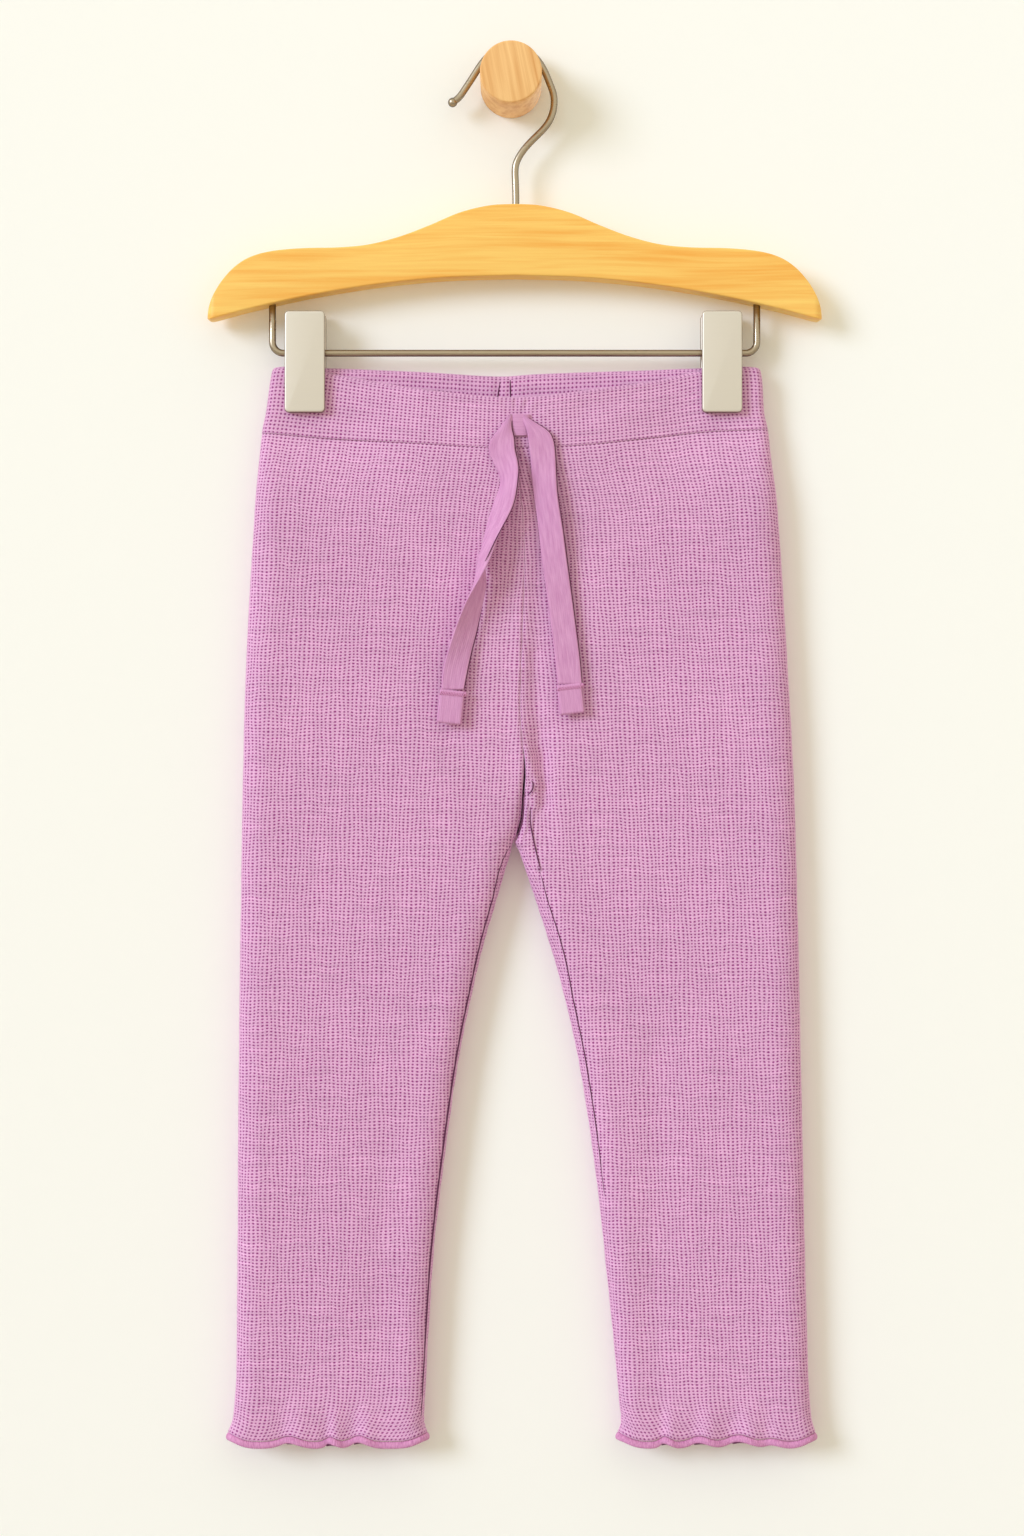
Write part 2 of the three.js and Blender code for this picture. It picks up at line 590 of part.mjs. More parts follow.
/** A path through chosen stations, which puts one section at each of them. */
class StationPath extends THREE.Curve {
  constructor(stations) {
    super();
    this.stations = stations;
  }

  getPoint(t) {
    const place = THREE.MathUtils.clamp(t, 0, 1) * (this.stations.length - 1);
    const i = Math.min(Math.floor(place), this.stations.length - 2);
    return new THREE.Vector3().lerpVectors(this.stations[i], this.stations[i + 1], place - i);
  }

  getPointAt(u) {
    return this.getPoint(u);
  }

  getTangentAt(u) {
    return this.getTangent(u);
  }
}

/** A flat tape's path, whose frames turn by the angles of its route. */
class TapePath extends StationPath {
  constructor(stations, turns) {
    super(stations);
    this.turns = turns;
  }

  computeFrenetFrames(steps) {
    const frames = { tangents: [], normals: [], binormals: [] };
    for (let i = 0; i <= steps; i += 1) {
      const tangent = this.getTangentAt(i / steps);
      const turn = THREE.MathUtils.degToRad(this.turns[i]);
      const facing = new THREE.Vector3(Math.sin(turn), -Math.cos(turn), 0);
      const binormal = new THREE.Vector3().crossVectors(tangent, facing).normalize();
      frames.tangents.push(tangent);
      frames.binormals.push(binormal);
      frames.normals.push(new THREE.Vector3().crossVectors(binormal, tangent));
    }
    return frames;
  }
}

/** A round wire through stations. */
function wire(stations, radius, sides) {
  const section = new THREE.Shape();
  section.setFromPoints(Array.from({ length: sides }, (_, k) => {
    const angle = 2 * Math.PI * k / sides;
    return new THREE.Vector2(radius * Math.cos(angle), radius * Math.sin(angle));
  }));
  const extrudePath = new StationPath(stations);
  return new THREE.ExtrudeGeometry(section, { steps: stations.length - 1, extrudePath });
}

/** The peg: a turned wooden dowel with a small bevel at its front edge. */
function peg() {
  const profile = [
    new THREE.Vector2(0, 0), new THREE.Vector2(PEG_RADIUS, 0),
    new THREE.Vector2(PEG_RADIUS, PEG_LENGTH - PEG_EDGE),
    new THREE.Vector2(PEG_RADIUS - PEG_EDGE, PEG_LENGTH), new THREE.Vector2(0, PEG_LENGTH),
  ];
  const geometry = new THREE.LatheGeometry(profile, 36);
  return shared(geometry.rotateX(Math.PI));
}

/** The hook: it rises out of the board, bends round the peg and ends in a small ball. */
function hook() {
  const bend = Array.from({ length: HOOK_BEND.steps + 1 }, (_, i) => {
    const degrees = THREE.MathUtils.lerp(HOOK_BEND.fromDegrees, HOOK_BEND.toDegrees, i / HOOK_BEND.steps);
    const angle = THREE.MathUtils.degToRad(degrees);
    return { x: HOOK_BEND_RADIUS * Math.cos(angle), z: HOOK_BEND_RADIUS * Math.sin(angle) };
  });
  const marks = [...HOOK_END, ...bend, ...HOOK_SHANK].map(({ x, z }) => new THREE.Vector3(x, MIDDLE_Y, z));
  const smooth = new THREE.CatmullRomCurve3(marks, false, 'centripetal');
  const shaft = wire(smooth.getSpacedPoints(44), WIRE_RADIUS, 10);
  const ball = new THREE.SphereGeometry(HOOK_BALL_RADIUS, 12, 8);
  const placed = ball.translate(marks[0].x, marks[0].y, marks[0].z);
  return toGeometry(toSolid(shaft).add(toSolid(placed)));
}

/** The clip bar: a wire with both ends turned up into the board. */
function clipBar() {
  const marks = [];
  const legTop = hangerUnderside(BAR_HALF_WIDTH) + BAR_HOLE_DEPTH;
  for (const end of [-1, 1]) {
    const x = HANGER_CENTRE_X + end * BAR_HALF_WIDTH;
    const corner = [0, 15, 30, 45, 60, 75, 90].map((degrees) => {
      const angle = THREE.MathUtils.degToRad(degrees);
      const bendX = x - end * BAR_BEND * (1 - Math.cos(angle));
      return new THREE.Vector3(bendX, MIDDLE_Y, BAR_Z + BAR_BEND - BAR_BEND * Math.sin(angle));
    });
    const half = [new THREE.Vector3(x, MIDDLE_Y, legTop), ...corner];
    marks.push(...(end < 0 ? half : half.reverse()));
  }
  return wire(marks, WIRE_RADIUS, 8);
}

/** The height of the board's underside at a distance from its middle. */
function hangerUnderside(out) {
  return read(HANGER_UNDERSIDE, 'out', 'z', out);
}

/** Mirrors a half outline and gives a smooth row of points from its left end to its right. */
function mirroredSpline(half, steps) {
  const ordered = [...half].sort((a, b) => a.out - b.out);
  const right = ordered.map(({ out, z }) => new THREE.Vector2(out, z));
  const left = ordered.slice(1).reverse().map(({ out, z }) => new THREE.Vector2(-out, z));
  return new THREE.SplineCurve([...left, ...right]).getSpacedPoints(steps);
}

/** The hanger's board, with its rounded edges and its holes for the hook and the clip bar. */
function hangerBoard() {
  const outline = [...mirroredSpline(HANGER_TOP, 48), ...mirroredSpline(HANGER_UNDERSIDE, 22).reverse()];
  const settings = {
    depth: HANGER_THICKNESS - 2 * HANGER_EDGE, bevelThickness: HANGER_EDGE, bevelSize: HANGER_EDGE,
    bevelOffset: -HANGER_EDGE, bevelSegments: 2, curveSegments: 1,
  };
  const board = new THREE.ExtrudeGeometry(new THREE.Shape(outline), settings);
  board.translate(HANGER_CENTRE_X, 0, HANGER_EDGE - HANGER_THICKNESS / 2);
  board.rotateX(Math.PI / 2).translate(0, MIDDLE_Y, 0);
  const barHoleTop = hangerUnderside(BAR_HALF_WIDTH) + BAR_HOLE_DEPTH + SEAM_GAP;
  const holes = [
    drill(HOOK_SHANK.at(-1).x, HOOK_SHANK.at(-1).z - SEAM_GAP, HOOK_HOLE_MOUTH_Z),
    drill(HANGER_CENTRE_X - BAR_HALF_WIDTH, BAR_HOLE_MOUTH_Z, barHoleTop),
    drill(HANGER_CENTRE_X + BAR_HALF_WIDTH, BAR_HOLE_MOUTH_Z, barHoleTop),
  ];
  return toGeometry(holes.reduce((left, hole) => left.subtract(hole), toSolid(board)));
}

/** An upright drilled hole in the middle plane, between two heights. */
function drill(x, from, to) {
  const shaft = new THREE.CylinderGeometry(HOLE_RADIUS, HOLE_RADIUS, to - from, 12);
  return toSolid(shaft.rotateX(Math.PI / 2).translate(x, MIDDLE_Y, (from + to) / 2));
}

/** A clip's plate, with rounded corners and bevelled edges, standing between two depths. */
function clipPlate(centreX, nearWallY) {
  const [w, h, r] = [CLIP_WIDTH / 2, (CLIP_TOP_Z - CLIP_BOTTOM_Z) / 2, CLIP_CORNER];
  const shape = new THREE.Shape();
  shape.moveTo(-w + r, -h);
  const corners = [[w - r, r - h, -90], [w - r, h - r, 0], [r - w, h - r, 90], [r - w, r - h, 180]];
  for (const [cx, cy, start] of corners) {
    const from = THREE.MathUtils.degToRad(start);
    shape.absarc(cx, cy, r, from, from + Math.PI / 2, false);
  }
  const settings = {
    depth: CLIP_PLATE - 2 * CLIP_EDGE, bevelThickness: CLIP_EDGE, bevelSize: CLIP_EDGE,
    bevelOffset: -CLIP_EDGE, bevelSegments: 2, curveSegments: 3,
  };
  const plate = new THREE.ExtrudeGeometry(shape, settings).rotateX(Math.PI / 2);
  return shared(plate.translate(centreX, nearWallY - CLIP_EDGE, (CLIP_TOP_Z + CLIP_BOTTOM_Z) / 2));
}

/** The clip's coiled spring, as a plain sleeve round the bar. */
function clipSpring(centreX) {
  const half = SPRING_LENGTH / 2;
  const profile = [
    new THREE.Vector2(SPRING_INNER, -half), new THREE.Vector2(SPRING_OUTER, -half),
    new THREE.Vector2(SPRING_OUTER, half), new THREE.Vector2(SPRING_INNER, half),
    new THREE.Vector2(SPRING_INNER, -half),
  ];
  const sleeve = new THREE.LatheGeometry(profile, 20);
  return shared(sleeve.rotateZ(Math.PI / 2).translate(centreX, MIDDLE_Y, BAR_Z));
}

/** The middle line and turns of one drawstring tail, at equal steps along it. */
function tapeStations(leg) {
  const route = TAPE_ROUTES[leg];
  const marks = route.map(({ x, z, out }) => new THREE.Vector3(x, TAPE_Y - out, z));
  const smooth = new THREE.CatmullRomCurve3(marks, false, 'centripetal');
  const stations = smooth.getSpacedPoints(TAPE_STEPS);
  const turns = stations.map((point) => read(route, 'z', 'turn', point.z));
  return { stations, turns };
}

/** One drawstring tail: a flat tape that hangs in front of the cloth. */
function tapeTail(leg) {
  const { stations, turns } = tapeStations(leg);
  const [thin, wide, soft] = [TAPE_THICKNESS / 2, TAPE_WIDTH / 2, 0.5];
  const section = new THREE.Shape([
    new THREE.Vector2(thin, -wide + soft), new THREE.Vector2(thin, wide - soft),
    new THREE.Vector2(thin / 2, wide), new THREE.Vector2(-thin / 2, wide),
    new THREE.Vector2(-thin, wide - soft), new THREE.Vector2(-thin, -wide + soft),
    new THREE.Vector2(-thin / 2, -wide), new THREE.Vector2(thin / 2, -wide),
  ]);
  const extrudePath = new TapePath(stations, turns);
  return shared(new THREE.ExtrudeGeometry(section, { steps: TAPE_STEPS, extrudePath }));
}

/** The folded and sewn end of a tail, in line with its last stretch. */
function tapeTab(leg) {
  const { stations } = tapeStations(leg);
  const [last, before] = [stations.at(-1), stations.at(-2)];
  const along = new THREE.Vector3().subVectors(last, before).normalize();
  const lean = Math.atan2(along.x, -along.z);
  const middle = last.clone().addScaledVector(along, SEAM_GAP + TAB_LENGTH / 2);
  const outline = new THREE.Shape();
  const [w, h, r] = [TAB_WIDTH / 2, TAB_LENGTH / 2, TAB_CORNER];
  outline.moveTo(-w, -h + r).lineTo(-w, h).lineTo(w, h).lineTo(w, -h + r);
  outline.lineTo(w - r, -h).lineTo(-w + r, -h);
  const settings = {
    depth: TAB_THICKNESS - 2 * TAB_EDGE, bevelThickness: TAB_EDGE, bevelSize: TAB_EDGE,
    bevelOffset: -TAB_EDGE, bevelSegments: 1,
  };
  const tab = new THREE.ExtrudeGeometry(outline, settings).translate(0, 0, TAB_EDGE - TAB_THICKNESS / 2);
  return shared(tab.rotateX(Math.PI / 2).rotateY(-lean).translate(middle.x, middle.y, middle.z));
}

/** The short stretch of tape that shows between the two tails. */
function tapeBridge() {
  const size = [BRIDGE.xTo - BRIDGE.xFrom, TAPE_THICKNESS, BRIDGE.top - BRIDGE.bottom];
  const bridge = new THREE.BoxGeometry(...size);
  const middleZ = (BRIDGE.top + BRIDGE.bottom) / 2;
  return shared(bridge.translate((BRIDGE.xFrom + BRIDGE.xTo) / 2, TAPE_Y + BRIDGE.out, middleZ));
}

for (const leg of [RIGHT, LEFT]) {
  for (const side of [FRONT, BACK]) addPiece(`leg_${leg}_${side}`, legPanel(leg, side), CLOTH);
  addPiece(`hem_${leg}`, rolledHem(leg), HEM_THREAD);
  addPiece(`drawstring_tail_${leg}`, tapeTail(leg), TAPE);
  addPiece(`drawstring_tab_${leg}`, tapeTab(leg), TAPE);
  const clipX = CLIP_MIDDLE_X + (leg === RIGHT ? -CLIP_OFFSET : CLIP_OFFSET);
  const jaw = PINCHED_HALF_DEPTH + SEAM_GAP;
  addPiece(`clip_${leg}_front`, clipPlate(clipX, MIDDLE_Y - jaw), CLIP_METAL);
  addPiece(`clip_${leg}_back`, clipPlate(clipX, MIDDLE_Y + jaw + CLIP_PLATE), CLIP_METAL);
  addPiece(`clip_${leg}_spring`, clipSpring(clipX), STEEL_WIRE);
}
addPiece('drawstring_bridge', tapeBridge(), TAPE);
addPiece('waistband_front', waistbandWall(FRONT), CLOTH);
addPiece('waistband_back', waistbandWall(BACK), CLOTH);
addPiece('hanger_board', hangerBoard(), HANGER_WOOD);
addPiece('hook', hook(), STEEL_WIRE);
addPiece('clip_bar', clipBar(), STEEL_WIRE);
addPiece('peg', peg(), PEG_WOOD);

export default group;
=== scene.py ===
"""A child's waffle-knit leggings, clipped to a wooden hanger that hangs on a wall peg.

Sizes are in millimetres until a mesh is made, which is in metres, in the frame of the CAD part:
+Z up, the origin in the middle of the peg's back face, -Y towards the room. Right and left are the
wearer's, so the right leg is on -X.
"""

import logging
import math
from dataclasses import dataclass
from enum import Enum
from typing import Optional, Sequence

import bmesh
import bpy
import numpy as np
from mathutils import Matrix, Vector


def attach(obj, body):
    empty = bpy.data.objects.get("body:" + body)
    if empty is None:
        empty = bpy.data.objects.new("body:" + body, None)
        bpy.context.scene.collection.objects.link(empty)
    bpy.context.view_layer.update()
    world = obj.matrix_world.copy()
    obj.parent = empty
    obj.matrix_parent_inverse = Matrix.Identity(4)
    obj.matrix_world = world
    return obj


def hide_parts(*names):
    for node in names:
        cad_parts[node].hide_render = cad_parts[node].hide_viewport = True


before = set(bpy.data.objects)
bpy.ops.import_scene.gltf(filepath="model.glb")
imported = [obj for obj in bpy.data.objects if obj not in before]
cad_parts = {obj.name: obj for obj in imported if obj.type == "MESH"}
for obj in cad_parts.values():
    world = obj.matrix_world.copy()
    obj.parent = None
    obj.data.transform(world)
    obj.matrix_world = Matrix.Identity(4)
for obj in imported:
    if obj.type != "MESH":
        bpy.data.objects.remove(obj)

LOG = logging.getLogger("leggings")
BODY = "root"

# A millimetre, and the distance at which points merge, both in metres
MM = 0.001
TINY = 1e-6

# How finely a path is walked between its marks, how little a level edge of the knit's pattern rises, and
# how far a wall's face stays from the middle plane at least
FINE_STEPS = 40
LEVEL_STEP = 0.1
LEAST_REACH = 0.02


class Sign(Enum):
    """Two sides of the garment, each with the sign of its side."""

    @property
    def word(self) -> str:
        """The side's name in tables and nodes."""
        return self.name.lower()


class Leg(Sign):
    """One leg of the wearer, with the sign of its side along X."""

    RIGHT = -1
    LEFT = 1


class Side(Sign):
    """The front or back of the garment, with the sign of its side along Y."""

    FRONT = -1
    BACK = 1


# The garment's sizes, as in the CAD part
MIDDLE_Y = -10.0
KNIT_WALL = 1.4
BAND_WALL = 2.6
CROTCH_Z = -373.0
PANEL_TOP_Z = -171.0
PANEL_BOTTOM_Z = -664.6
CLIP_BOTTOM_Z = -162.5
CLIP_TOP_Z = -113.0
CLIP_MIDDLE_X = 1.2
CLIP_OFFSET = 101.9
PINCHED_HALF_DEPTH = 2.8
HEM_HEIGHT = 3.5
HEM_THICKNESS = 2.2
HEM_GAP = 0.5
HEM_FLARE = 1.1
HEM_WAVE_DEPTH = {Side.FRONT: 1.1, Side.BACK: 0.8}
HEM_CURL_RISE = 3.2
HEM_CURL_RUN = 7.0
RUFFLE_TOP_Z = -630.0

# The knit: how wide and high one pit of the waffle is, and how deep
PIT_WIDTH = 2.04
PIT_HEIGHT = 1.56
PIT_SINK = -0.3


class Table:
    """A short table of numbers, read on a smooth curve between its rows."""

    def __init__(self, columns: str, rows: Sequence[Sequence[float]]) -> None:
        """Keeps the rows in rising order of the first column.

        Args:
            columns: The columns' names, parted by spaces. The first is the key.
            rows: The numbers, one row for each place.
        """
        self.columns = columns.split()
        values = np.array(rows, float)
        self.values = values[np.argsort(values[:, 0])]

    def read(self, column: str, at: np.ndarray) -> np.ndarray:
        """Reads a column at any places of the key.

        Args:
            column: The column's name.
            at: Places along the key column.

        Returns:
            The column's values there.
        """
        key = self.values[:, 0]
        value = self.values[:, self.columns.index(column)]
        last = len(key) - 1
        before = np.maximum(np.arange(last + 1) - 1, 0)
        after = np.minimum(np.arange(last + 1) + 1, last)
        slope = (value[after] - value[before]) / (key[after] - key[before])
        i = np.clip(np.searchsorted(key, at, side="right") - 1, 0, last - 1)
        run = key[i + 1] - key[i]
        t = np.clip((at - key[i]) / run, 0, 1)
        start = (1 + 2 * t) * (1 - t) ** 2 * value[i] + t * (1 - t) ** 2 * run * slope[i]
        end = t * t * (3 - 2 * t) * value[i + 1] + t * t * (t - 1) * run * slope[i + 1]
        return start + end


# The outer folds of the garment laid flat, from the waist to the flared hem
SIDE_FOLDS = Table("z right left", [
    (-139, -116.6, 121.9), (-146, -118.0, 123.2), (-162, -120.2, 124.2), (-170, -121.9, 125.9),
    (-185, -123.5, 127.5), (-205, -125.4, 130.3), (-234, -127.2, 132.5), (-264, -128.9, 134.3),
    (-303, -130.6, 136.7), (-342, -131.5, 138.7), (-401, -132.5, 140.5), (-499, -133.7, 142.6),
    (-577, -134.2, 144.3), (-634, -134.8, 145.9), (-652, -135.9, 146.9), (-660, -137.0, 147.9),
    (-667, -139.8, 150.0),
])

# The inner folds of the two legs, from the crotch down
INNER_FOLDS = Table("z right left", [
    (-373, 1.15, 1.45), (-377, 0.1, 3.9), (-386, -2.6, 6.9), (-401, -7.0, 12.0), (-420, -12.6, 18.3),
    (-440, -17.5, 24.0), (-479, -25.5, 33.0), (-538, -33.8, 41.9), (-577, -38.0, 46.1),
    (-617, -40.5, 50.3), (-646, -42.0, 52.8), (-660, -42.2, 53.7), (-667, -40.0, 51.2),
])

# The rise seams, from the waist seam to the crotch
RISE_SEAMS = Table("z front back", [
    (-140, 3.5, -3.0), (-180, 3.6, -2.5), (-227, 6.6, -1.0), (-303, 4.6, 0.6), (-318, 5.1, 0.8),
    (-336, 6.7, 1.0), (-350, 5.9, 1.2), (-360, 5.2, 1.3), (-367, 3.7, 1.3), (-373, 1.3, 1.3),
])

# How far each wall stands from the middle plane, and how wide its rounded side folds are
FULLNESS = Table("z front back fold", [
    (-139, 7.8, 4.4, 3.6), (-160, 8.3, 4.6, 3.8), (-182, 8.2, 5.0, 7), (-205, 7.8, 5.6, 11),
    (-240, 7.3, 6.2, 14), (-300, 7.0, 6.6, 14), (-372, 6.8, 6.8, 14), (-450, 7.4, 7.2, 14),
    (-560, 7.1, 7.0, 13), (-640, 6.8, 6.0, 11), (-664, 7.2, 5.2, 9),
])

# Heights along the waist: the front edge sags between the clips, the back edge stays high
WAIST_LINES = Table("x front back seam", [
    (-122, -140.2, -140.2, -171.6), (-112, -139.6, -139.6, -172.3), (-91, -142.8, -140.0, -174.2),
    (-45, -151.0, -141.6, -177.3), (-7, -155.1, -143.7, -179.6), (12, -154.8, -142.6, -179.4),
    (39, -151.4, -141.6, -177.8), (69, -147.0, -140.8, -174.2), (92, -141.9, -140.0, -171.4),
    (114, -139.6, -139.6, -170.4), (126, -140.2, -140.2, -169.9),
])

# Where each cuff's hem arches up: the arch's middle, its half width and its rise
HEM_ARCHES = {
    (Leg.RIGHT, Side.FRONT): ((-107.5, 6.5, 2.6), (-87.8, 3.4, 2.3), (-73.5, 5.5, 2.9)),
    (Leg.RIGHT, Side.BACK): ((-119, 6, 2.4), (-98, 5, 2.8), (-80, 4.5, 2.2), (-62, 6, 2.6)),
    (Leg.LEFT, Side.FRONT): ((75.6, 3.6, 2.4), (92.7, 6, 2.7), (112.2, 7.5, 3.3), (127.8, 5, 1.6)),
    (Leg.LEFT, Side.BACK): ((69, 5, 2.4), (86, 6, 2.6), (104, 4.5, 2.4), (125, 6.5, 2.8)),
}


@dataclass(frozen=True)
class Fold:
    """A soft trough (negative rise) or ridge along a line on one side of the cloth."""

    side: Side
    x0: float
    z0: float
    x1: float
    z1: float
    rise: float
    width: float

    def height(self, x: np.ndarray, z: np.ndarray) -> np.ndarray:
        """The fold's height at places of the cloth.

        Args:
            x: Places along X.
            z: Heights.

        Returns:
            How far the cloth stands out there.
        """
        run = np.array([self.x1 - self.x0, self.z1 - self.z0])
        from_x, from_z = x - self.x0, z - self.z0
        share = np.clip((from_x * run[0] + from_z * run[1]) / (run @ run), 0, 1)
        distance = np.hypot(from_x - share * run[0], from_z - share * run[1])
        return self.rise * np.exp(-((distance / self.width) ** 2))


# The large folds, as in the CAD part, then finer ones that only the scene has
FOLDS = (
    Fold(Side.FRONT, -82, -146, -28, -163, -0.8, 6),
    Fold(Side.FRONT, 84, -145, 36, -161, -0.8, 6),
    Fold(Side.FRONT, 15, -205, 12, -330, -1.3, 7),
    Fold(Side.FRONT, 16, -320, 15, -372, -1.6, 6),
    Fold(Side.FRONT, -30, -320, -6, -360, -0.7, 9),
    Fold(Side.FRONT, 72, -470, 70, -650, -1.0, 11),
    Fold(Side.FRONT, -60, -520, -66, -650, -0.8, 12),
    Fold(Side.BACK, -75, -190, -14, -330, -0.9, 12),
    Fold(Side.BACK, 80, -190, 18, -335, -0.9, 12),
    Fold(Side.BACK, -70, -480, -80, -650, -0.9, 12),
    Fold(Side.BACK, 95, -460, 88, -650, -1.0, 12),
    Fold(Side.FRONT, 8.5, -328, 12.4, -343, 1.3, 2.3),
    Fold(Side.FRONT, 12.6, -344, 11.4, -356, 1.2, 2.1),
    Fold(Side.FRONT, 11.5, -280, 14.2, -326, -0.9, 2.6),
    Fold(Side.FRONT, 15.4, -330, 17.0, -354, -1.9, 2.6),
    Fold(Side.FRONT, 9.8, -342, 7.5, -350, -0.8, 1.2),
    Fold(Side.FRONT, 6.2, -350, 5.6, -361, -0.9, 1.3),
    Fold(Side.FRONT, 9.4, -362, 12.2, -377.4, -0.5, 1.3),
    Fold(Side.FRONT, 12.2, -377.4, 14.8, -387, -0.5, 1.3),
    Fold(Side.FRONT, 14.8, -387, 12.7, -393, -0.5, 1.3),
    Fold(Side.FRONT, 3.3, -365.3, -2.5, -375.7, -0.5, 1.3),
    Fold(Side.FRONT, -2.5, -375.7, -8.8, -398.6, -0.4, 1.3),
    Fold(Side.FRONT, 2.6, -157, 3.2, -164, -1.1, 1.1),
    Fold(Side.FRONT, -3, -158, 0.4, -165, -0.7, 1.5),
    Fold(Side.FRONT, 8, -157.5, 5.6, -164.5, -1.0, 1.2),
    Fold(Side.FRONT, 14, -159, 9, -167, -0.4, 1.8),
    Fold(Side.BACK, -5.3, -145, -6.9, -158, 0.7, 1.4),
    Fold(Side.BACK, -0.4, -144, -0.2, -158, 0.7, 1.4),
)


def smooth_step(start: float, end: float, value: np.ndarray) -> np.ndarray:
    """Rises smoothly from 0 at the start to 1 at the end."""
    t = np.clip((value - start) / (end - start), 0, 1)
    return t * t * (3 - 2 * t)


def bell(distance: np.ndarray, width: float) -> np.ndarray:
    """Falls smoothly from 1 at no distance to nearly 0 at twice the width."""
    return np.exp(-((distance / width) ** 2))


def clip_pinch(x: np.ndarray, z: np.ndarray) -> np.ndarray:
    """How much the clips pinch the cloth at places, from 0 to 1."""
    jaw_half, jaw_lip, spread, reach = 12, 2, 34, 30
    aside = np.maximum(CLIP_OFFSET - jaw_half - np.abs(x - CLIP_MIDDLE_X), 0)
    below = np.maximum(CLIP_BOTTOM_Z - jaw_lip - z, 0)
    return bell(aside, spread) * bell(below, reach)


def relief(side: Side, x: np.ndarray, z: np.ndarray) -> np.ndarray:
    """How far folds and the front seam's ridge lift the cloth at places."""
    rise = sum(fold.height(x, z) for fold in FOLDS if fold.side is side)
    if side is Side.FRONT:
        ridge_height, ridge_width, ridge_top, ridge_foot = 1.1, 4.5, -182, -350
        bump_rise, bump_z, bump_run = 1.2, -338, 18
        distance = np.abs(x - RISE_SEAMS.read("front", z))
        bump = 1 + bump_rise * bell(z - bump_z, bump_run)
        ridge = ridge_height * bump * bell(distance, ridge_width) * smooth_step(CROTCH_Z, ridge_foot, z)
        rise = rise + np.where(z < ridge_top, ridge, 0)
    return rise


def wall_depth(side: Side, x: np.ndarray, z: np.ndarray) -> np.ndarray:
    """How far a wall's outer face stands from the middle plane, away from its side folds."""
    free = FULLNESS.read(side.word, z) + relief(side, x, z)
    pinch = clip_pinch(x, z)
    return free * (1 - pinch) + PINCHED_HALF_DEPTH * pinch


def fold_profile(distance: np.ndarray, run: np.ndarray) -> np.ndarray:
    """The rounded profile of a folded edge, from 0 at the fold to 1 on the flat."""
    t = np.clip(distance / run, 0, 1)
    return np.sqrt(1 - (1 - t) ** 2)


def ruffle_swell(z: np.ndarray) -> np.ndarray:
    """How strongly the cuff ruffles at heights: 0 above it and 1 at its lower edge."""
    return smooth_step(RUFFLE_TOP_Z, PANEL_BOTTOM_Z, z) ** 2


def ruffle(leg: Leg, side: Side, x: np.ndarray, z: np.ndarray) -> tuple[np.ndarray, np.ndarray]:
    """The cuff's ruffle at places: how far it stands out, and how far it lifts."""
    out, lift = np.zeros_like(x), np.zeros_like(x)
    for middle, width, rise in HEM_ARCHES[leg, side]:
        share = (x - middle) / width
        bump = rise * np.exp(-share * share)
        lift = lift + bump
        out = out + HEM_WAVE_DEPTH[side] * share * bump
    return ruffle_swell(z) * out, ruffle_swell(z) * lift


def corner_curl(distance: np.ndarray, z: np.ndarray) -> np.ndarray:
    """How far the cuff's corners curl up at distances from the nearer fold."""
    return ruffle_swell(z) * HEM_CURL_RISE * bell(distance, HEM_CURL_RUN)


def wall_point(side: Side, z: np.ndarray, outer_x: np.ndarray, inner_x: np.ndarray, share: np.ndarray,
               closing: np.ndarray, inset: np.ndarray, leg: Optional[Leg] = None) -> np.ndarray:
    """Points of a cloth wall between an outer fold and its other edge.

    Args:
        side: Front or back.
        z: Heights.
        outer_x: The outer fold there.
        inner_x: The other edge there.
        share: How far across from the outer fold, from 0 to 1.
        closing: How much the other edge is folded too, from 0 to 1.
        inset: How deep in the wall, 0 on its outer face.
        leg: The leg, where its cuff ruffles.

    Returns:
        The points, with X, Y and Z in the last axis.
    """
    width = np.abs(inner_x - outer_x)
    inward = np.sign(inner_x - outer_x)
    travel = share * width
    fold = FULLNESS.read("fold", z)
    far_fold = fold_profile(width - travel, fold)
    profile = fold_profile(travel, fold) * (1 - closing * (1 - far_fold))
    x = outer_x + inward * (inset + share * (width - inset - inset * closing))
    out, lift = ruffle(leg, side, x, z) if leg else (0.0, 0.0)
    curl = corner_curl(np.minimum(travel, width - travel), z) if leg else 0.0
    reach = np.maximum(wall_depth(side, x, z) + out - inset, LEAST_REACH) * profile
    return np.stack([x, MIDDLE_Y + side.value * reach, z + curl + lift * profile], axis=-1)


def metres(places: np.ndarray) -> np.ndarray:
    """Turns millimetres into metres."""
    return np.asarray(places, float) * MM


def moved_to(place: np.ndarray) -> Matrix:
    """A move to a place in millimetres."""
    return Matrix.Translation(Vector(metres(place)))


def scaled(size: Sequence[float]) -> Matrix:
    """A scaling by sizes in millimetres."""
    return Matrix.Diagonal((*metres(size), 1.0))


def eased(count: int) -> np.ndarray:
    """Shares from 0 to 1, closer together at both ends."""
    return (1 - np.cos(np.pi * np.linspace(0, 1, count))) / 2


def walked(points: np.ndarray) -> np.ndarray:
    """The way walked along a line of points, 0 at the first."""
    return np.concatenate([[0], np.cumsum(np.linalg.norm(np.diff(points, axis=0), axis=1))])


def sampled(spots: np.ndarray, walk: np.ndarray, line: np.ndarray) -> np.ndarray:
    """A line's points at spots of the way along it, with all its columns."""
    return np.column_stack([np.interp(spots, walk, line[:, i]) for i in range(line.shape[1])])


def repeated(vector: Sequence[float], count: int) -> np.ndarray:
    """The same vector, once for each point of a path."""
    return np.tile(np.array(vector, float), (count, 1))


def link_object(name: str, data: bpy.types.ID) -> bpy.types.Object:
    """Makes an object of a mesh, light or camera, and puts it in the scene."""
    thing = bpy.data.objects.new(name, data)
    bpy.context.scene.collection.objects.link(thing)
    return thing


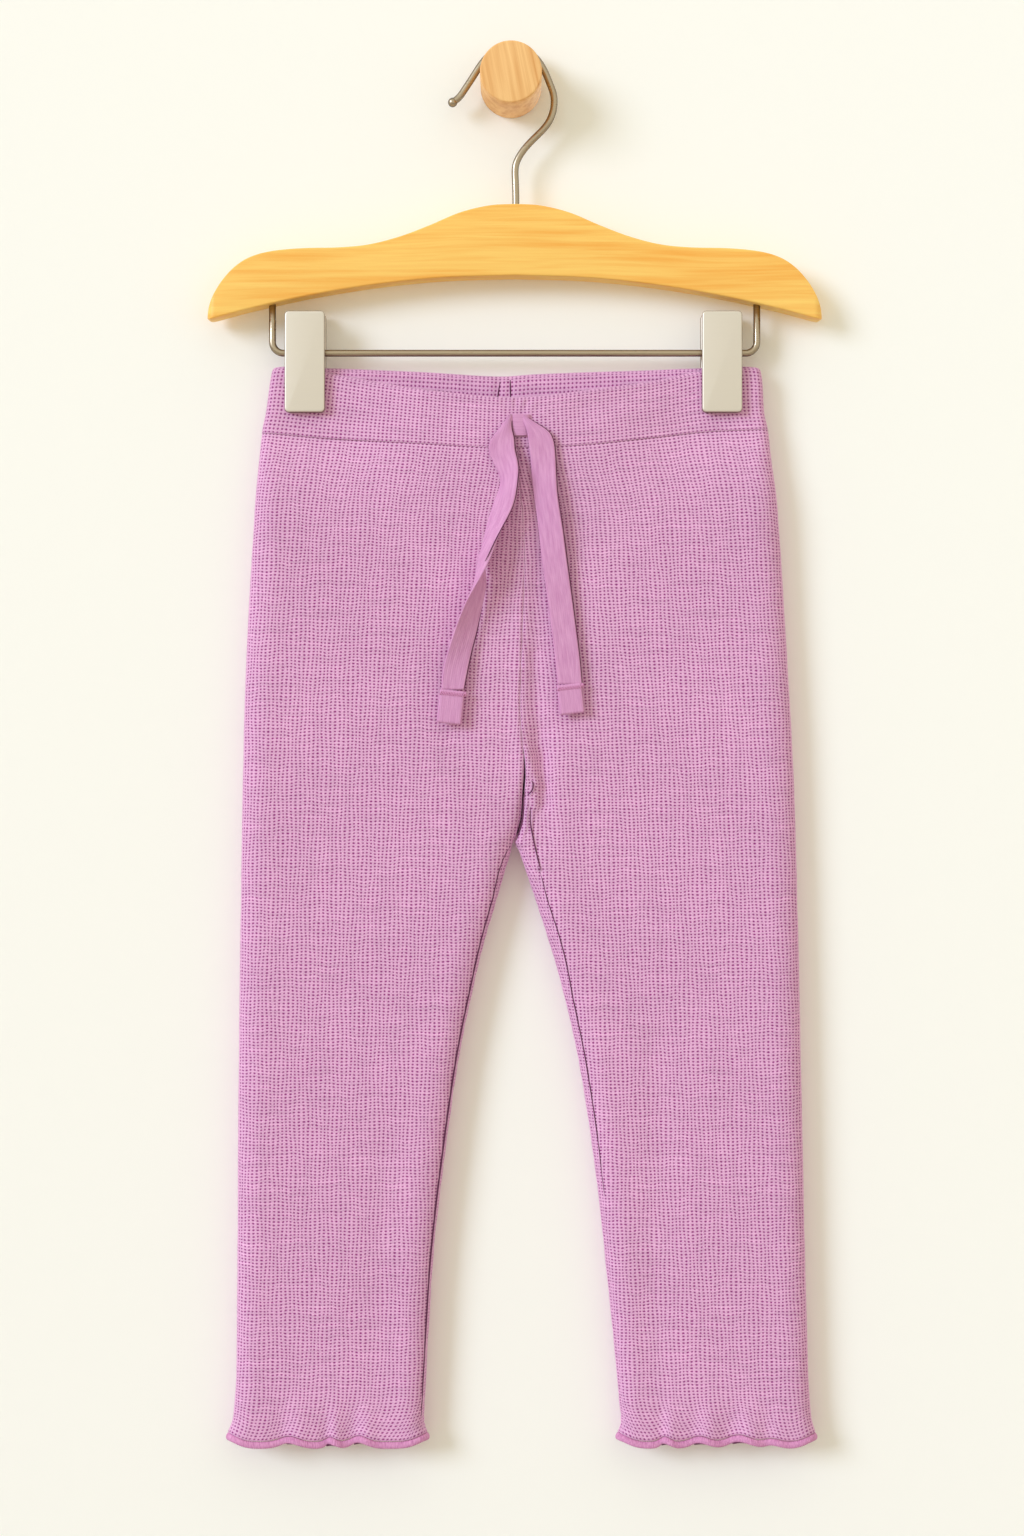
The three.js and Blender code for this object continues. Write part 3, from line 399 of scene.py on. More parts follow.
def mesh_object(name: str, mesh: bmesh.types.BMesh, finish: bpy.types.Material) -> bpy.types.Object:
    """Makes an object of a mesh, which is freed, with its one material."""
    data = bpy.data.meshes.new(name)
    mesh.to_mesh(data)
    mesh.free()
    data.materials.append(finish)
    return link_object(name, data)


def soften(mesh: bmesh.types.BMesh, edges: list, offset: float, segments: int) -> None:
    """Rounds edges over, by an offset in millimetres."""
    bmesh.ops.bevel(mesh, geom=edges, offset=offset * MM, offset_type="OFFSET", segments=segments,
                    profile=0.5, affect="EDGES", material=-1)


def placed_grid(places: np.ndarray, pattern: np.ndarray, wraps: bool = False) -> bmesh.types.BMesh:
    """Makes a grid and moves each of its vertices to its place.

    Args:
        places: Points in millimetres, by row and column. Rows go up where columns go right.
        pattern: The UV of each point, by row and column.
        wraps: Whether the last column or row lies on the first, so that the mesh closes there.

    Returns:
        The mesh, in metres, not yet merged with anything.
    """
    rows, columns = places.shape[:2]
    mesh = bmesh.new()
    bmesh.ops.create_grid(mesh, x_segments=columns - 1, y_segments=rows - 1, size=1)
    spots = metres(places).reshape(-1, 3)
    for vertex, spot in zip(mesh.verts, spots):
        vertex.co = spot
    mesh.verts.index_update()
    coordinates = pattern.reshape(-1, 2)
    layer = mesh.loops.layers.uv.new("UVMap")
    for face in mesh.faces:
        for loop in face.loops:
            loop[layer].uv = coordinates[loop.vert.index]
    bmesh.ops.remove_doubles(mesh, verts=mesh.verts[:], dist=TINY)
    if wraps:
        bmesh.ops.recalc_face_normals(mesh, faces=mesh.faces[:])
    return mesh


def finished(name: str, mesh: bmesh.types.BMesh, finish: bpy.types.Material,
             nodes: Sequence[str] = ()) -> bpy.types.Object:
    """Makes an object of a mesh, gives it its finish, and sets it on the body.

    Args:
        name: The piece's name.
        mesh: Its mesh, which is freed.
        finish: Its material.
        nodes: The CAD nodes that it stands for.

    Returns:
        The object.
    """
    for face in mesh.faces:
        face.smooth = True
    piece = mesh_object(name, mesh, finish)
    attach(piece, BODY)
    if nodes:
        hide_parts(*nodes)
    LOG.info("%s: %d faces", name, len(piece.data.polygons))
    return piece


def thin_out(mesh: bmesh.types.BMesh, faces: Sequence[bmesh.types.BMFace]) -> None:
    """Joins the rows of hidden cells in pairs, by the whole numbers of their pattern."""
    layer = mesh.loops.layers.uv.active
    between = set()
    for face in faces:
        for loop in face.loops:
            here, there = loop[layer].uv, loop.link_loop_next[layer].uv
            level = abs(here.y - there.y) < LEVEL_STEP
            if level and round(here.y) % 2 == 1:
                between.add(loop.edge)
    bmesh.ops.dissolve_edges(mesh, edges=list(between), use_verts=True)


def sink_pits(mesh: bmesh.types.BMesh, faces: list[bmesh.types.BMFace]) -> None:
    """Sinks a pit into each cell of the waffle."""
    bmesh.ops.poke(mesh, faces=faces, offset=PIT_SINK, use_relative_offset=True)


def spline_bends(knots: np.ndarray, marks: np.ndarray) -> np.ndarray:
    """The second derivatives, at its knots, of the natural cubic spline through marks."""
    steps = np.diff(knots)
    count = len(knots)
    system = np.eye(count)
    slopes = np.diff(marks, axis=0) / steps[:, None]
    wanted = np.zeros_like(marks)
    for i in range(1, count - 1):
        system[i, i - 1:i + 2] = steps[i - 1], 2 * (steps[i - 1] + steps[i]), steps[i]
        wanted[i] = 6 * (slopes[i] - slopes[i - 1])
    return np.linalg.solve(system, wanted)


def smooth_path(marks: Sequence[Sequence[float]], count: int) -> np.ndarray:
    """A smooth path through marks, at equal steps.

    Args:
        marks: The marks, each with X, Y and Z first and any other values after them.
        count: How many points to give.

    Returns:
        The points, with as many columns as the marks.
    """
    marks = np.array(marks, float)
    knots = walked(marks[:, :3])
    bends = spline_bends(knots, marks)
    fine = np.linspace(0, knots[-1], FINE_STEPS * len(marks))
    i = np.clip(np.searchsorted(knots, fine, side="right") - 1, 0, len(knots) - 2)
    run = (knots[i + 1] - knots[i])[:, None]
    after = (fine - knots[i])[:, None] / run
    before = 1 - after
    bend = (before ** 3 - before) * bends[i] + (after ** 3 - after) * bends[i + 1]
    points = before * marks[i] + after * marks[i + 1] + bend * run ** 2 / 6
    walk = walked(points[:, :3])
    return sampled(np.linspace(0, walk[-1], count), walk, points)


def directions(path: np.ndarray, closed: bool = False) -> np.ndarray:
    """The unit direction of a path at each of its points."""
    if closed:
        ahead = np.roll(path, -1, axis=0) - np.roll(path, 1, axis=0)
    else:
        ahead = np.gradient(path, axis=0)
    return ahead / np.linalg.norm(ahead, axis=1)[:, None]


def swept(path: np.ndarray, side: np.ndarray, face: np.ndarray, section: np.ndarray,
          closed: bool = False) -> bmesh.types.BMesh:
    """Sweeps a closed section along a path and closes its ends.

    Args:
        path: Points in millimetres.
        side: The section's first axis at each point.
        face: The section's second axis at each point.
        section: Offsets along both axes, by point of the path and point of the section.
        closed: Whether the path is a ring.

    Returns:
        The closed mesh.
    """
    offsets = side[:, None, :] * section[..., 0:1] + face[:, None, :] * section[..., 1:2]
    places = path[:, None, :] + offsets
    places = np.concatenate([places, places[:, :1]], axis=1)
    if closed:
        places = np.concatenate([places, places[:1]], axis=0)
    around, along = walked(places[0]), walked(places[:, 0])
    mesh = placed_grid(places, np.stack(np.meshgrid(around, along), axis=-1))
    if not closed:
        rim = [edge for edge in mesh.edges if edge.is_boundary]
        bmesh.ops.holes_fill(mesh, edges=rim, sides=0)
    bmesh.ops.recalc_face_normals(mesh, faces=mesh.faces[:])
    return mesh


def round_section(radius: np.ndarray, sides: int) -> np.ndarray:
    """A round section for each radius."""
    angle = 2 * np.pi * np.arange(sides) / sides
    circle = np.stack([np.cos(angle), np.sin(angle)], axis=-1)
    return radius[:, None, None] * circle[None]


def tapered(radius: float, tip: float, count: int) -> np.ndarray:
    """Radii along a line that thins at both ends, to a share of the full radius."""
    share = np.linspace(-1, 1, count)
    return radius * (tip + (1 - tip) * np.sqrt(1 - share ** 2))


def wire(path: np.ndarray, radius: float) -> bmesh.types.BMesh:
    """A round wire that lies in a plane of constant Y."""
    sides = 20
    across = repeated((0, 1, 0), len(path))
    section = round_section(np.full(len(path), radius), sides)
    return swept(path, across, np.cross(across, directions(path)), section)


@dataclass(frozen=True)
class Mottle:
    """Soft noise, stretched along each axis, and the range of tone that its own range maps to."""

    stretch: tuple[float, float, float]
    detail: float
    low: float
    high: float
    to_low: float = 0.0
    to_high: float = 1.0


class Nodes:
    """Adds shader nodes to a tree, in few words."""

    def __init__(self, tree: bpy.types.NodeTree) -> None:
        """Keeps the tree.

        Args:
            tree: The node tree to fill.
        """
        self.tree = tree

    def feed(self, node: bpy.types.Node, inputs: dict) -> None:
        """Gives a node its inputs.

        Args:
            node: The node.
            inputs: Values or sockets, by the input's name or number.
        """
        for key, value in inputs.items():
            if isinstance(value, bpy.types.NodeSocket):
                self.tree.links.new(value, node.inputs[key])
            else:
                node.inputs[key].default_value = value

    def add(self, kind: str, inputs: Optional[dict] = None, **settings) -> bpy.types.Node:
        """Adds one node.

        Args:
            kind: The node's type, without its leading word.
            inputs: Values or sockets, by the input's name or number.
            settings: The node's own settings.

        Returns:
            The node.
        """
        node = self.tree.nodes.new("ShaderNode" + kind)
        for key, value in settings.items():
            setattr(node, key, value)
        self.feed(node, inputs or {})
        return node

    def math(self, operation: str, *values) -> bpy.types.NodeSocket:
        """One step of arithmetic on values or sockets."""
        return self.add("Math", dict(enumerate(values)), operation=operation).outputs[0]

    def mix(self, share, first, second) -> bpy.types.NodeSocket:
        """Mixes two colours."""
        return self.add("Mix", {0: share, 6: first, 7: second}, data_type="RGBA").outputs[2]

    def span(self, value, low: float, high: float, to_low: float = 0.0, to_high: float = 1.0,
             shape: str = "LINEAR") -> bpy.types.NodeSocket:
        """Maps a value from one range to another, clamped."""
        limits = {0: value, 1: low, 2: high, 3: to_low, 4: to_high}
        return self.add("MapRange", limits, interpolation_type=shape).outputs[0]

    def noise(self, vector, stretch: tuple, detail: float) -> bpy.types.NodeSocket:
        """Soft noise, from 0 to 1, with each axis of its vector stretched by itself."""
        place = self.add("Mapping", {"Vector": vector, "Scale": stretch}).outputs[0]
        return self.add("TexNoise", {"Vector": place, "Scale": 1.0, "Detail": detail}).outputs[0]

    def mottled(self, vector, mottle: Mottle) -> bpy.types.NodeSocket:
        """A mottle's change of tone."""
        noise = self.noise(vector, mottle.stretch, mottle.detail)
        return self.span(noise, mottle.low, mottle.high, mottle.to_low, mottle.to_high)

    def total(self, vector, mottles: Sequence[Mottle]) -> bpy.types.NodeSocket:
        """The sum of several mottles' changes of tone."""
        total = self.mottled(vector, mottles[0])
        for mottle in mottles[1:]:
            total = self.math("ADD", total, self.mottled(vector, mottle))
        return total

    def bump(self, height, distance: float, strength: float) -> bpy.types.NodeSocket:
        """A normal bent by a height, over a distance in millimetres."""
        inputs = {"Height": height, "Distance": distance * MM, "Strength": strength}
        return self.add("Bump", inputs).outputs[0]

    def leave(self, color: bpy.types.NodeSocket, normal: bpy.types.NodeSocket) -> None:
        """Ends a shader group with its colour and its normal."""
        self.feed(self.tree.nodes.new("NodeGroupOutput"), {"Color": color, "Normal": normal})


def linear(red: float, green: float, blue: float) -> tuple[float, float, float, float]:
    """A display colour, 0 to 255, as a linear one, by the standard curve of screens."""
    foot, slope, lift, power = 0.04045, 12.92, 0.055, 2.4

    def one(value: float) -> float:
        value = value / 255
        return value / slope if value <= foot else ((value + lift) / (1 + lift)) ** power
    return one(red), one(green), one(blue), 1.0


def shader_group(name: str, colors: Sequence[str],
                 vectors: Sequence[str] = ()) -> tuple[Nodes, bpy.types.Node]:
    """Starts a node group that gives a colour and a normal.

    Args:
        name: The group's name.
        colors: The names of its colour inputs.
        vectors: The names of its vector inputs.

    Returns:
        The group's Nodes and its input node.
    """
    group = bpy.data.node_groups.new(name, "ShaderNodeTree")
    sockets = [(label, "INPUT", "NodeSocketColor") for label in colors]
    sockets += [(label, "INPUT", "NodeSocketVector") for label in vectors]
    sockets += [("Color", "OUTPUT", "NodeSocketColor"), ("Normal", "OUTPUT", "NodeSocketVector")]
    for label, way, kind in sockets:
        group.interface.new_socket(label, in_out=way, socket_type=kind)
    return Nodes(group), group.nodes.new("NodeGroupInput")


# The knit's changes of tone, by stretch, detail, range of the noise and range of the tone: fine bars,
# worn patches, wales, slubs and flecks
KNIT_TONES = (
    Mottle((0.07, 0.9, 1.0), 3.0, 0.3, 0.7, -0.07, 0.07),
    Mottle((0.03, 0.03, 1.0), 2.0, 0.3, 0.7, -0.03, 0.03),
    Mottle((0.5, 0.02, 1.0), 2.0, 0.3, 0.7, -0.03, 0.03),
    Mottle((0.11, 1.3, 1.0), 2.0, 0.56, 0.72, 0.0, 0.12),
    Mottle((2.3, 2.3, 2.3), 1.0, 0.25, 0.75, -0.09, 0.09),
)

# A pit in its cell, darkened with painted shade: how uneven its rim is, and its middle, spread, floor and rim
# in shares of the cell
PIT_WOBBLE = Mottle((1.1, 1.1, 1.1), 3.0, 0.25, 0.75, -0.09, 0.09)
CELL_MIDDLE = 0.5
PIT_SPREAD = 1.05
PIT_FLOOR = 0.1
PIT_RIM = 0.42


def knit_group() -> bpy.types.NodeTree:
    """The waffle knit: a dark round pit of painted shade in each cell, uneven yarn and slow changes of tone.
    """
    nodes, entry = shader_group("Waffle knit", ("Yarn", "Pit"))
    cells = nodes.add("TexCoord").outputs["UV"]
    squares = []
    for place in nodes.add("SeparateXYZ", {0: cells}).outputs[:2]:
        off = nodes.math("SUBTRACT", nodes.math("FRACT", place), CELL_MIDDLE)
        spread = nodes.math("MULTIPLY", off, PIT_SPREAD)
        squares.append(nodes.math("MULTIPLY", spread, spread))
    distance = nodes.math("SQRT", nodes.math("ADD", *squares))
    radius = nodes.math("ADD", distance, nodes.mottled(cells, PIT_WOBBLE))
    # Painted shade: the pit's mask darkens the yarn towards the pit colour in the middle of each cell
    pit = nodes.span(radius, PIT_FLOOR, PIT_RIM, 1.0, 0.0, "SMOOTHSTEP")
    color = nodes.mix(pit, entry.outputs["Yarn"], entry.outputs["Pit"])
    value = nodes.math("ADD", 1.0, nodes.total(cells, KNIT_TONES))
    bright = nodes.add("HueSaturation", {"Color": color, "Value": value}).outputs[0]
    threads = nodes.noise(cells, stretch=(6.0, 2.5, 1.0), detail=2.0)
    thread_height, pit_depth = 0.35, 0.6
    height = nodes.math("SUBTRACT", nodes.math("MULTIPLY", threads, thread_height),
                        nodes.math("MULTIPLY", pit, pit_depth))
    nodes.leave(bright, nodes.bump(height, distance=0.35, strength=0.7))
    return nodes.tree


# The wood's changes of tone, in the same columns: dark streaks, slow bands and fine fibres
WOOD_FIBRES = Mottle((40.0, 900.0, 1500.0), 3.0, 0.3, 0.7, -0.08, 0.16)
WOOD_TONES = (
    Mottle((11.0, 160.0, 330.0), 4.0, 0.42, 0.68, 0.0, 0.55),
    Mottle((7.0, 40.0, 70.0), 2.0, 0.35, 0.7, 0.0, 0.3),
    WOOD_FIBRES,
)
WOOD_WARP = Mottle((9.0, 9.0, 30.0), 1.0, 0.0, 1.0, -4.0 * MM, 4.0 * MM)


def wood_group() -> bpy.types.NodeTree:
    """Long-grained wood: dark streaks, fine fibres and slow bands along the turned X axis."""
    nodes, entry = shader_group("Wood grain", ("Light", "Dark"), ("Turn",))
    place = nodes.add("TexCoord").outputs["Object"]
    turned = nodes.add("Mapping", {"Vector": place, "Rotation": entry.outputs["Turn"]}).outputs[0]
    warp = nodes.add("CombineXYZ", {2: nodes.mottled(turned, WOOD_WARP)}).outputs[0]
    bent = nodes.add("VectorMath", {0: turned, 1: warp}, operation="ADD").outputs[0]
    share = nodes.span(nodes.total(bent, WOOD_TONES), 0.0, 1.0)
    color = nodes.mix(share, entry.outputs["Light"], entry.outputs["Dark"])
    fibres = nodes.noise(bent, WOOD_FIBRES.stretch, WOOD_FIBRES.detail)
    nodes.leave(color, nodes.bump(fibres, distance=0.1, strength=0.25))
    return nodes.tree


def new_material(name: str) -> tuple[bpy.types.Material, Nodes, bpy.types.Node]:
    """Starts a material with a Principled BSDF.

    Args:
        name: The material's name.

    Returns:
        The material, its Nodes and its Principled BSDF.
    """
    material = bpy.data.materials.new(name)
    material.use_nodes = True
    return material, Nodes(material.node_tree), material.node_tree.nodes["Principled BSDF"]


def use_group(nodes: Nodes, group: bpy.types.NodeTree, inputs: dict) -> dict:
    """Adds a group's node and sets its inputs.

    Args:
        nodes: The material's Nodes.
        group: The shader group.
        inputs: The group's inputs, by name.

    Returns:
        The colour and the normal, as inputs of a Principled BSDF.
    """
    node = nodes.add("Group", node_tree=group)
    nodes.feed(node, inputs)
    return {"Base Color": node.outputs["Color"], "Normal": node.outputs["Normal"]}


@dataclass(frozen=True)
class KnitFinish:
    """The soft waffle-knit cloth."""

    yarn: tuple = linear(230, 176, 212)
    # The pit colour is painted shade, the darkness inside each pit
    pit: tuple = linear(148, 48, 124)
    sheen: tuple = linear(240, 205, 226)

    def material(self, group: bpy.types.NodeTree) -> bpy.types.Material:
        """Makes the material.

        Args:
            group: The shared knit group.

        Returns:
            The material.
        """
        material, nodes, shader = new_material("Waffle knit cloth")
        nodes.feed(shader, {
            **use_group(nodes, group, {"Yarn": self.yarn, "Pit": self.pit}),
            "Roughness": 0.95,
            "Specular IOR Level": 0.15,
            "Sheen Weight": 0.25,
            "Sheen Roughness": 0.5,
            "Sheen Tint": self.sheen,
        })
        return material


@dataclass(frozen=True)
class ThreadFinish:
    """Cotton thread or tape, with fine uneven tone along its pattern."""

    name: str
    light: tuple
    dark: tuple
    stretch: tuple = (0.4, 1.6, 1.0)

    def material(self) -> bpy.types.Material:
        """Makes the material."""
        material, nodes, shader = new_material(self.name)
        weave = nodes.noise(nodes.add("TexCoord").outputs["UV"], self.stretch, detail=3.0)
        nodes.feed(shader, {
            "Base Color": nodes.mix(nodes.span(weave, low=0.3, high=0.7), self.light, self.dark),
            "Normal": nodes.bump(weave, distance=0.15, strength=0.5),
            "Roughness": 0.85,
            "Specular IOR Level": 0.2,
            "Sheen Weight": 0.15,
        })
        return material


@dataclass(frozen=True)
class WoodFinish:
    """A clear-varnished pale wood."""

    name: str
    light: tuple
    dark: tuple
    turn: tuple = (0.0, 0.0, 0.0)
    roughness: float = 0.45

    def material(self, group: bpy.types.NodeTree) -> bpy.types.Material:
        """Makes the material.

        Args:
            group: The shared wood group.

        Returns:
            The material.
        """
        material, nodes, shader = new_material(self.name)
        nodes.feed(shader, {
            **use_group(nodes, group, {"Light": self.light, "Dark": self.dark, "Turn": self.turn}),
            "Roughness": self.roughness,
            "Specular IOR Level": 0.3,
        })
        return material


@dataclass(frozen=True)
class MetalFinish:
    """Brushed or drawn metal, with painted shade where it turns away from view."""

    name: str
    color: tuple
    # rim: painted shade, the darker colour the metal takes where it turns away from view
    rim: tuple
    roughness: float
    metallic: float = 1.0
    uneven: float = 0.06
    facing: float = 0.5
    scratch: tuple = (30.0, 30.0, 900.0)

    def material(self) -> bpy.types.Material:
        """Makes the material."""
        material, nodes, shader = new_material(self.name)
        grain = Mottle(self.scratch, detail=2.0, low=0.3, high=0.7,
                       to_low=self.roughness - self.uneven, to_high=self.roughness + self.uneven)
        # Painted shade: the colour darkens towards the rim colour where the surface turns away from view
        away = nodes.add("LayerWeight", {"Blend": self.facing}).outputs["Facing"]
        nodes.feed(shader, {
            "Base Color": nodes.mix(nodes.span(away, low=0.12, high=0.75), self.color, self.rim),
            "Roughness": nodes.mottled(nodes.add("TexCoord").outputs["Object"], grain),
            "Metallic": self.metallic,
        })
        return material


@dataclass
class Finishes:
    """All the materials of the object."""

    knit: bpy.types.Material
    hem: bpy.types.Material
    tape: bpy.types.Material
    # seam: painted shade, for the dark seam lines, hem hollows and shadows under the tape's edges
    seam: bpy.types.Material
    hanger: bpy.types.Material
    peg: bpy.types.Material
    wire: bpy.types.Material
    clip: bpy.types.Material

    @classmethod
    def make(cls) -> "Finishes":
        """Makes them, with their shared shader groups."""
        wood = wood_group()
        hem = ThreadFinish("Overlock thread", linear(230, 164, 205), linear(190, 116, 164))
        tape = ThreadFinish("Cotton tape", linear(222, 162, 202), linear(204, 140, 184), (2.4, 0.1, 1.0))
        # The seam finish is painted shade: the dark colour of the seam lines, the hem hollows and the shadows
        # under the tape's edges
        seam = ThreadFinish("Painted seam shade", linear(112, 52, 90), linear(84, 36, 68))
        hanger = WoodFinish("Varnished hanger wood", linear(255, 210, 112), linear(246, 170, 68))
        peg = WoodFinish("Peg wood", linear(252, 203, 136), linear(216, 146, 74), (0.0, 1.78, 0.0), 0.55)
        # The second colour of each metal is its painted shade where it turns away from view
        steel = MetalFinish("Drawn steel", linear(188, 172, 148), linear(62, 44, 30), 0.3)
        nickel = MetalFinish("Satin nickel", linear(226, 217, 202), linear(120, 100, 76), 0.42, 0.5)
        return cls(
            knit=KnitFinish().material(knit_group()),
            hem=hem.material(),
            tape=tape.material(),
            seam=seam.material(),
            hanger=hanger.material(wood),
            peg=peg.material(wood),
            wire=steel.material(),
            clip=nickel.material(),
        )


# How far each inseam lies on the front, from the inner fold
INSEAM_INSETS = Table("z right left", [
    (-373, 0, 0), (-377, 2.0, 4.0), (-386, 3.0, 6.7), (-400, 2.2, 5.9), (-420, 1.9, 5.7), (-435, 1.6, 5.0),
    (-450, 1.5, 4.0), (-480, 1.4, 3.4), (-520, 1.4, 3.2), (-540, 1.4, 2.8), (-667, 1.4, 2.6),
])

# Slow waves by which the knit's lines drift: size, length across, length down and phase
DRIFT_WAVES = (
    (0.34, 37.0, 83.0, 0.3),
    (0.22, 17.0, -37.0, 1.9),
    (0.15, 9.5, 23.0, 4.1),
    (0.10, 6.1, -12.0, 2.6),
)


def drift(across: np.ndarray, down: np.ndarray, phase: float) -> np.ndarray:
    """How far the knit's lines stray at places of the cloth, in millimetres."""
    waves = 0.0
    for i, (size, wide, high, start) in enumerate(DRIFT_WAVES):
        waves = waves + size * np.sin(2 * np.pi * (across / wide + down / high) + start + phase * (i + 1))
    return waves


@dataclass
class LegSheet:
    """One leg: a sheet of knit that is wrapped round and closed by its inseam."""

    leg: Leg
    seam_drop: float = 0.45
    seam_width: float = 1.1
    waist_drop: float = 0.3
    waist_foot: float = -250.0
    rise_gap: float = 0.02
    rounding_top: float = -322.0
    spare: float = 10.0
    reach_past_fold: float = 20.0
    calm: float = 8.0
    column_phase: float = 0.0
    row_phase: float = 1.7
    normal_step: float = 0.6
    samples: int = 220

    def edges(self, side: Side, z: np.ndarray) -> tuple[np.ndarray, np.ndarray]:
        """The outer fold and the other edge of one side at heights."""
        outer = SIDE_FOLDS.read(self.leg.word, z)
        fold = INNER_FOLDS.read(self.leg.word, z)
        seam = RISE_SEAMS.read(side.word, z) + self.leg.value * self.rise_gap
        return outer, np.where(z <= CROTCH_Z, fold, seam)

    def section(self, z: float) -> np.ndarray:
        """The leg's cross-section at a height, from its front edge round the outer fold to its back edge.

        Args:
            z: The height, before the waist seam's slope.

        Returns:
            Points with X, Y and Z.
        """
        share = eased(self.samples)
        closing = smooth_step(self.rounding_top, CROTCH_Z, np.array(z))
        walls = []
        for side in (Side.FRONT, Side.BACK):
            height = np.full_like(share, z)
            outer, inner = self.edges(side, height)
            walls.append(wall_point(side, height, outer, inner, share, closing, 0.0, self.leg))
        return np.concatenate([walls[0][::-1], walls[1][1:]])

    def inseam_inset(self, z: float) -> float:
        """How far the inseam lies on the front, from the inner fold."""
        return float(INSEAM_INSETS.read(self.leg.word, np.array(z)))

    def rows(self) -> np.ndarray:
        """Heights of the rows of cells, from the cuff up."""
        count = int(round((PANEL_TOP_Z - PANEL_BOTTOM_Z) / PIT_HEIGHT))
        return np.linspace(PANEL_BOTTOM_Z, PANEL_TOP_Z, count + 1)

    def places(self) -> tuple[np.ndarray, np.ndarray]:
        """The sheet's points and pattern, by row and column, from the front edge to the back edge."""
        rows = self.rows()
        sections = [self.section(z) for z in rows]
        walks = [walked(section) for section in sections]
        middle = self.samples - 1
        front = max(walk[middle] for walk in walks)
        back = max(walk[-1] - walk[middle] for walk in walks) + self.spare
        marks = np.arange(-math.ceil(front / PIT_WIDTH), math.ceil(back / PIT_WIDTH) + 1) * PIT_WIDTH
        places = np.empty((len(rows), len(marks), 3))
        pattern = np.empty((len(rows), len(marks), 2))
        for r, (z, line, walk) in enumerate(zip(rows, sections, walks)):
            places[r] = self.row_places(z, line, walk - walk[middle], marks)
            pattern[r, :, 0] = marks / PIT_WIDTH
            pattern[r, :, 1] = r
        return places, pattern

    def row_places(self, z: float, line: np.ndarray, walk: np.ndarray, marks: np.ndarray) -> np.ndarray:
        """The points of one row of cells.

        Args:
            z: The row's height.
            line: Its cross-section.
            walk: The way along it, 0 at the outer fold.
            marks: The columns' places along it.

        Returns:
            The points, drawn in at the seams.
        """
        closed = z <= CROTCH_Z
        inset = self.inseam_inset(z) if closed else 0.0
        if closed:
            ahead = walk < walk[0] + self.reach_past_fold
            line = np.concatenate([line, line[ahead][1:]])
            walk = np.concatenate([walk, walk[-1] + walk[ahead][1:] - walk[0]])
            last = walk[len(line) - int(ahead.sum())] + inset
        else:
            last = walk[-1]
        first = walk[0] + inset
        height = np.full_like(marks, z)
        spots = np.clip(marks + drift(marks, height, self.column_phase), first, last)
        row = sampled(spots, walk, line)
        out = self.outward(line, walk, spots)
        edge = np.minimum(spots - first, last - spots)
        seam = self.seam_drop * bell(edge, self.seam_width)
        waist = self.waist_drop * bell(PANEL_TOP_Z - height, self.seam_width)
        row -= out * np.maximum(seam, waist)[:, None]
        loose = smooth_step(0, self.calm, edge) * smooth_step(0, self.calm, PANEL_TOP_Z - height)
        loose = loose * smooth_step(0, self.calm, height - PANEL_BOTTOM_Z)
        row[:, 2] += loose * drift(spots, height, self.row_phase)
        fade = smooth_step(self.waist_foot, PANEL_TOP_Z, height)
        row[:, 2] += fade * (WAIST_LINES.read("seam", row[:, 0]) - PANEL_TOP_Z)
        return row

    def outward(self, line: np.ndarray, walk: np.ndarray, spots: np.ndarray) -> np.ndarray:
        """Unit vectors out of the cloth, in the plane of a cross-section."""
        behind = sampled(spots - self.normal_step, walk, line)
        along = sampled(spots + self.normal_step, walk, line) - behind
        normal = np.column_stack([along[:, 1], -along[:, 0], np.zeros(len(spots))]) * self.leg.value
        return normal / np.maximum(np.linalg.norm(normal, axis=1), TINY)[:, None]

    def build(self, finishes: Finishes) -> bpy.types.Object:
        """Makes the leg.

        Args:
            finishes: The object's materials.

        Returns:
            The leg's object.
        """
        places, pattern = self.places()
        if self.leg is Leg.RIGHT:
            places, pattern = places[:, ::-1], pattern[:, ::-1]
        mesh = placed_grid(places, pattern)
        outer = mesh.faces[:]
        made = bmesh.ops.solidify(mesh, geom=outer, thickness=KNIT_WALL * MM)
        thin_out(mesh, [part for part in made["geom"] if isinstance(part, bmesh.types.BMFace)])
        sink_pits(mesh, [face for face in outer if face.is_valid])
        word = self.leg.word
        nodes = (f"leg_{word}_front", f"leg_{word}_back")
        return finished(f"leg_{word}", mesh, finishes.knit, nodes)


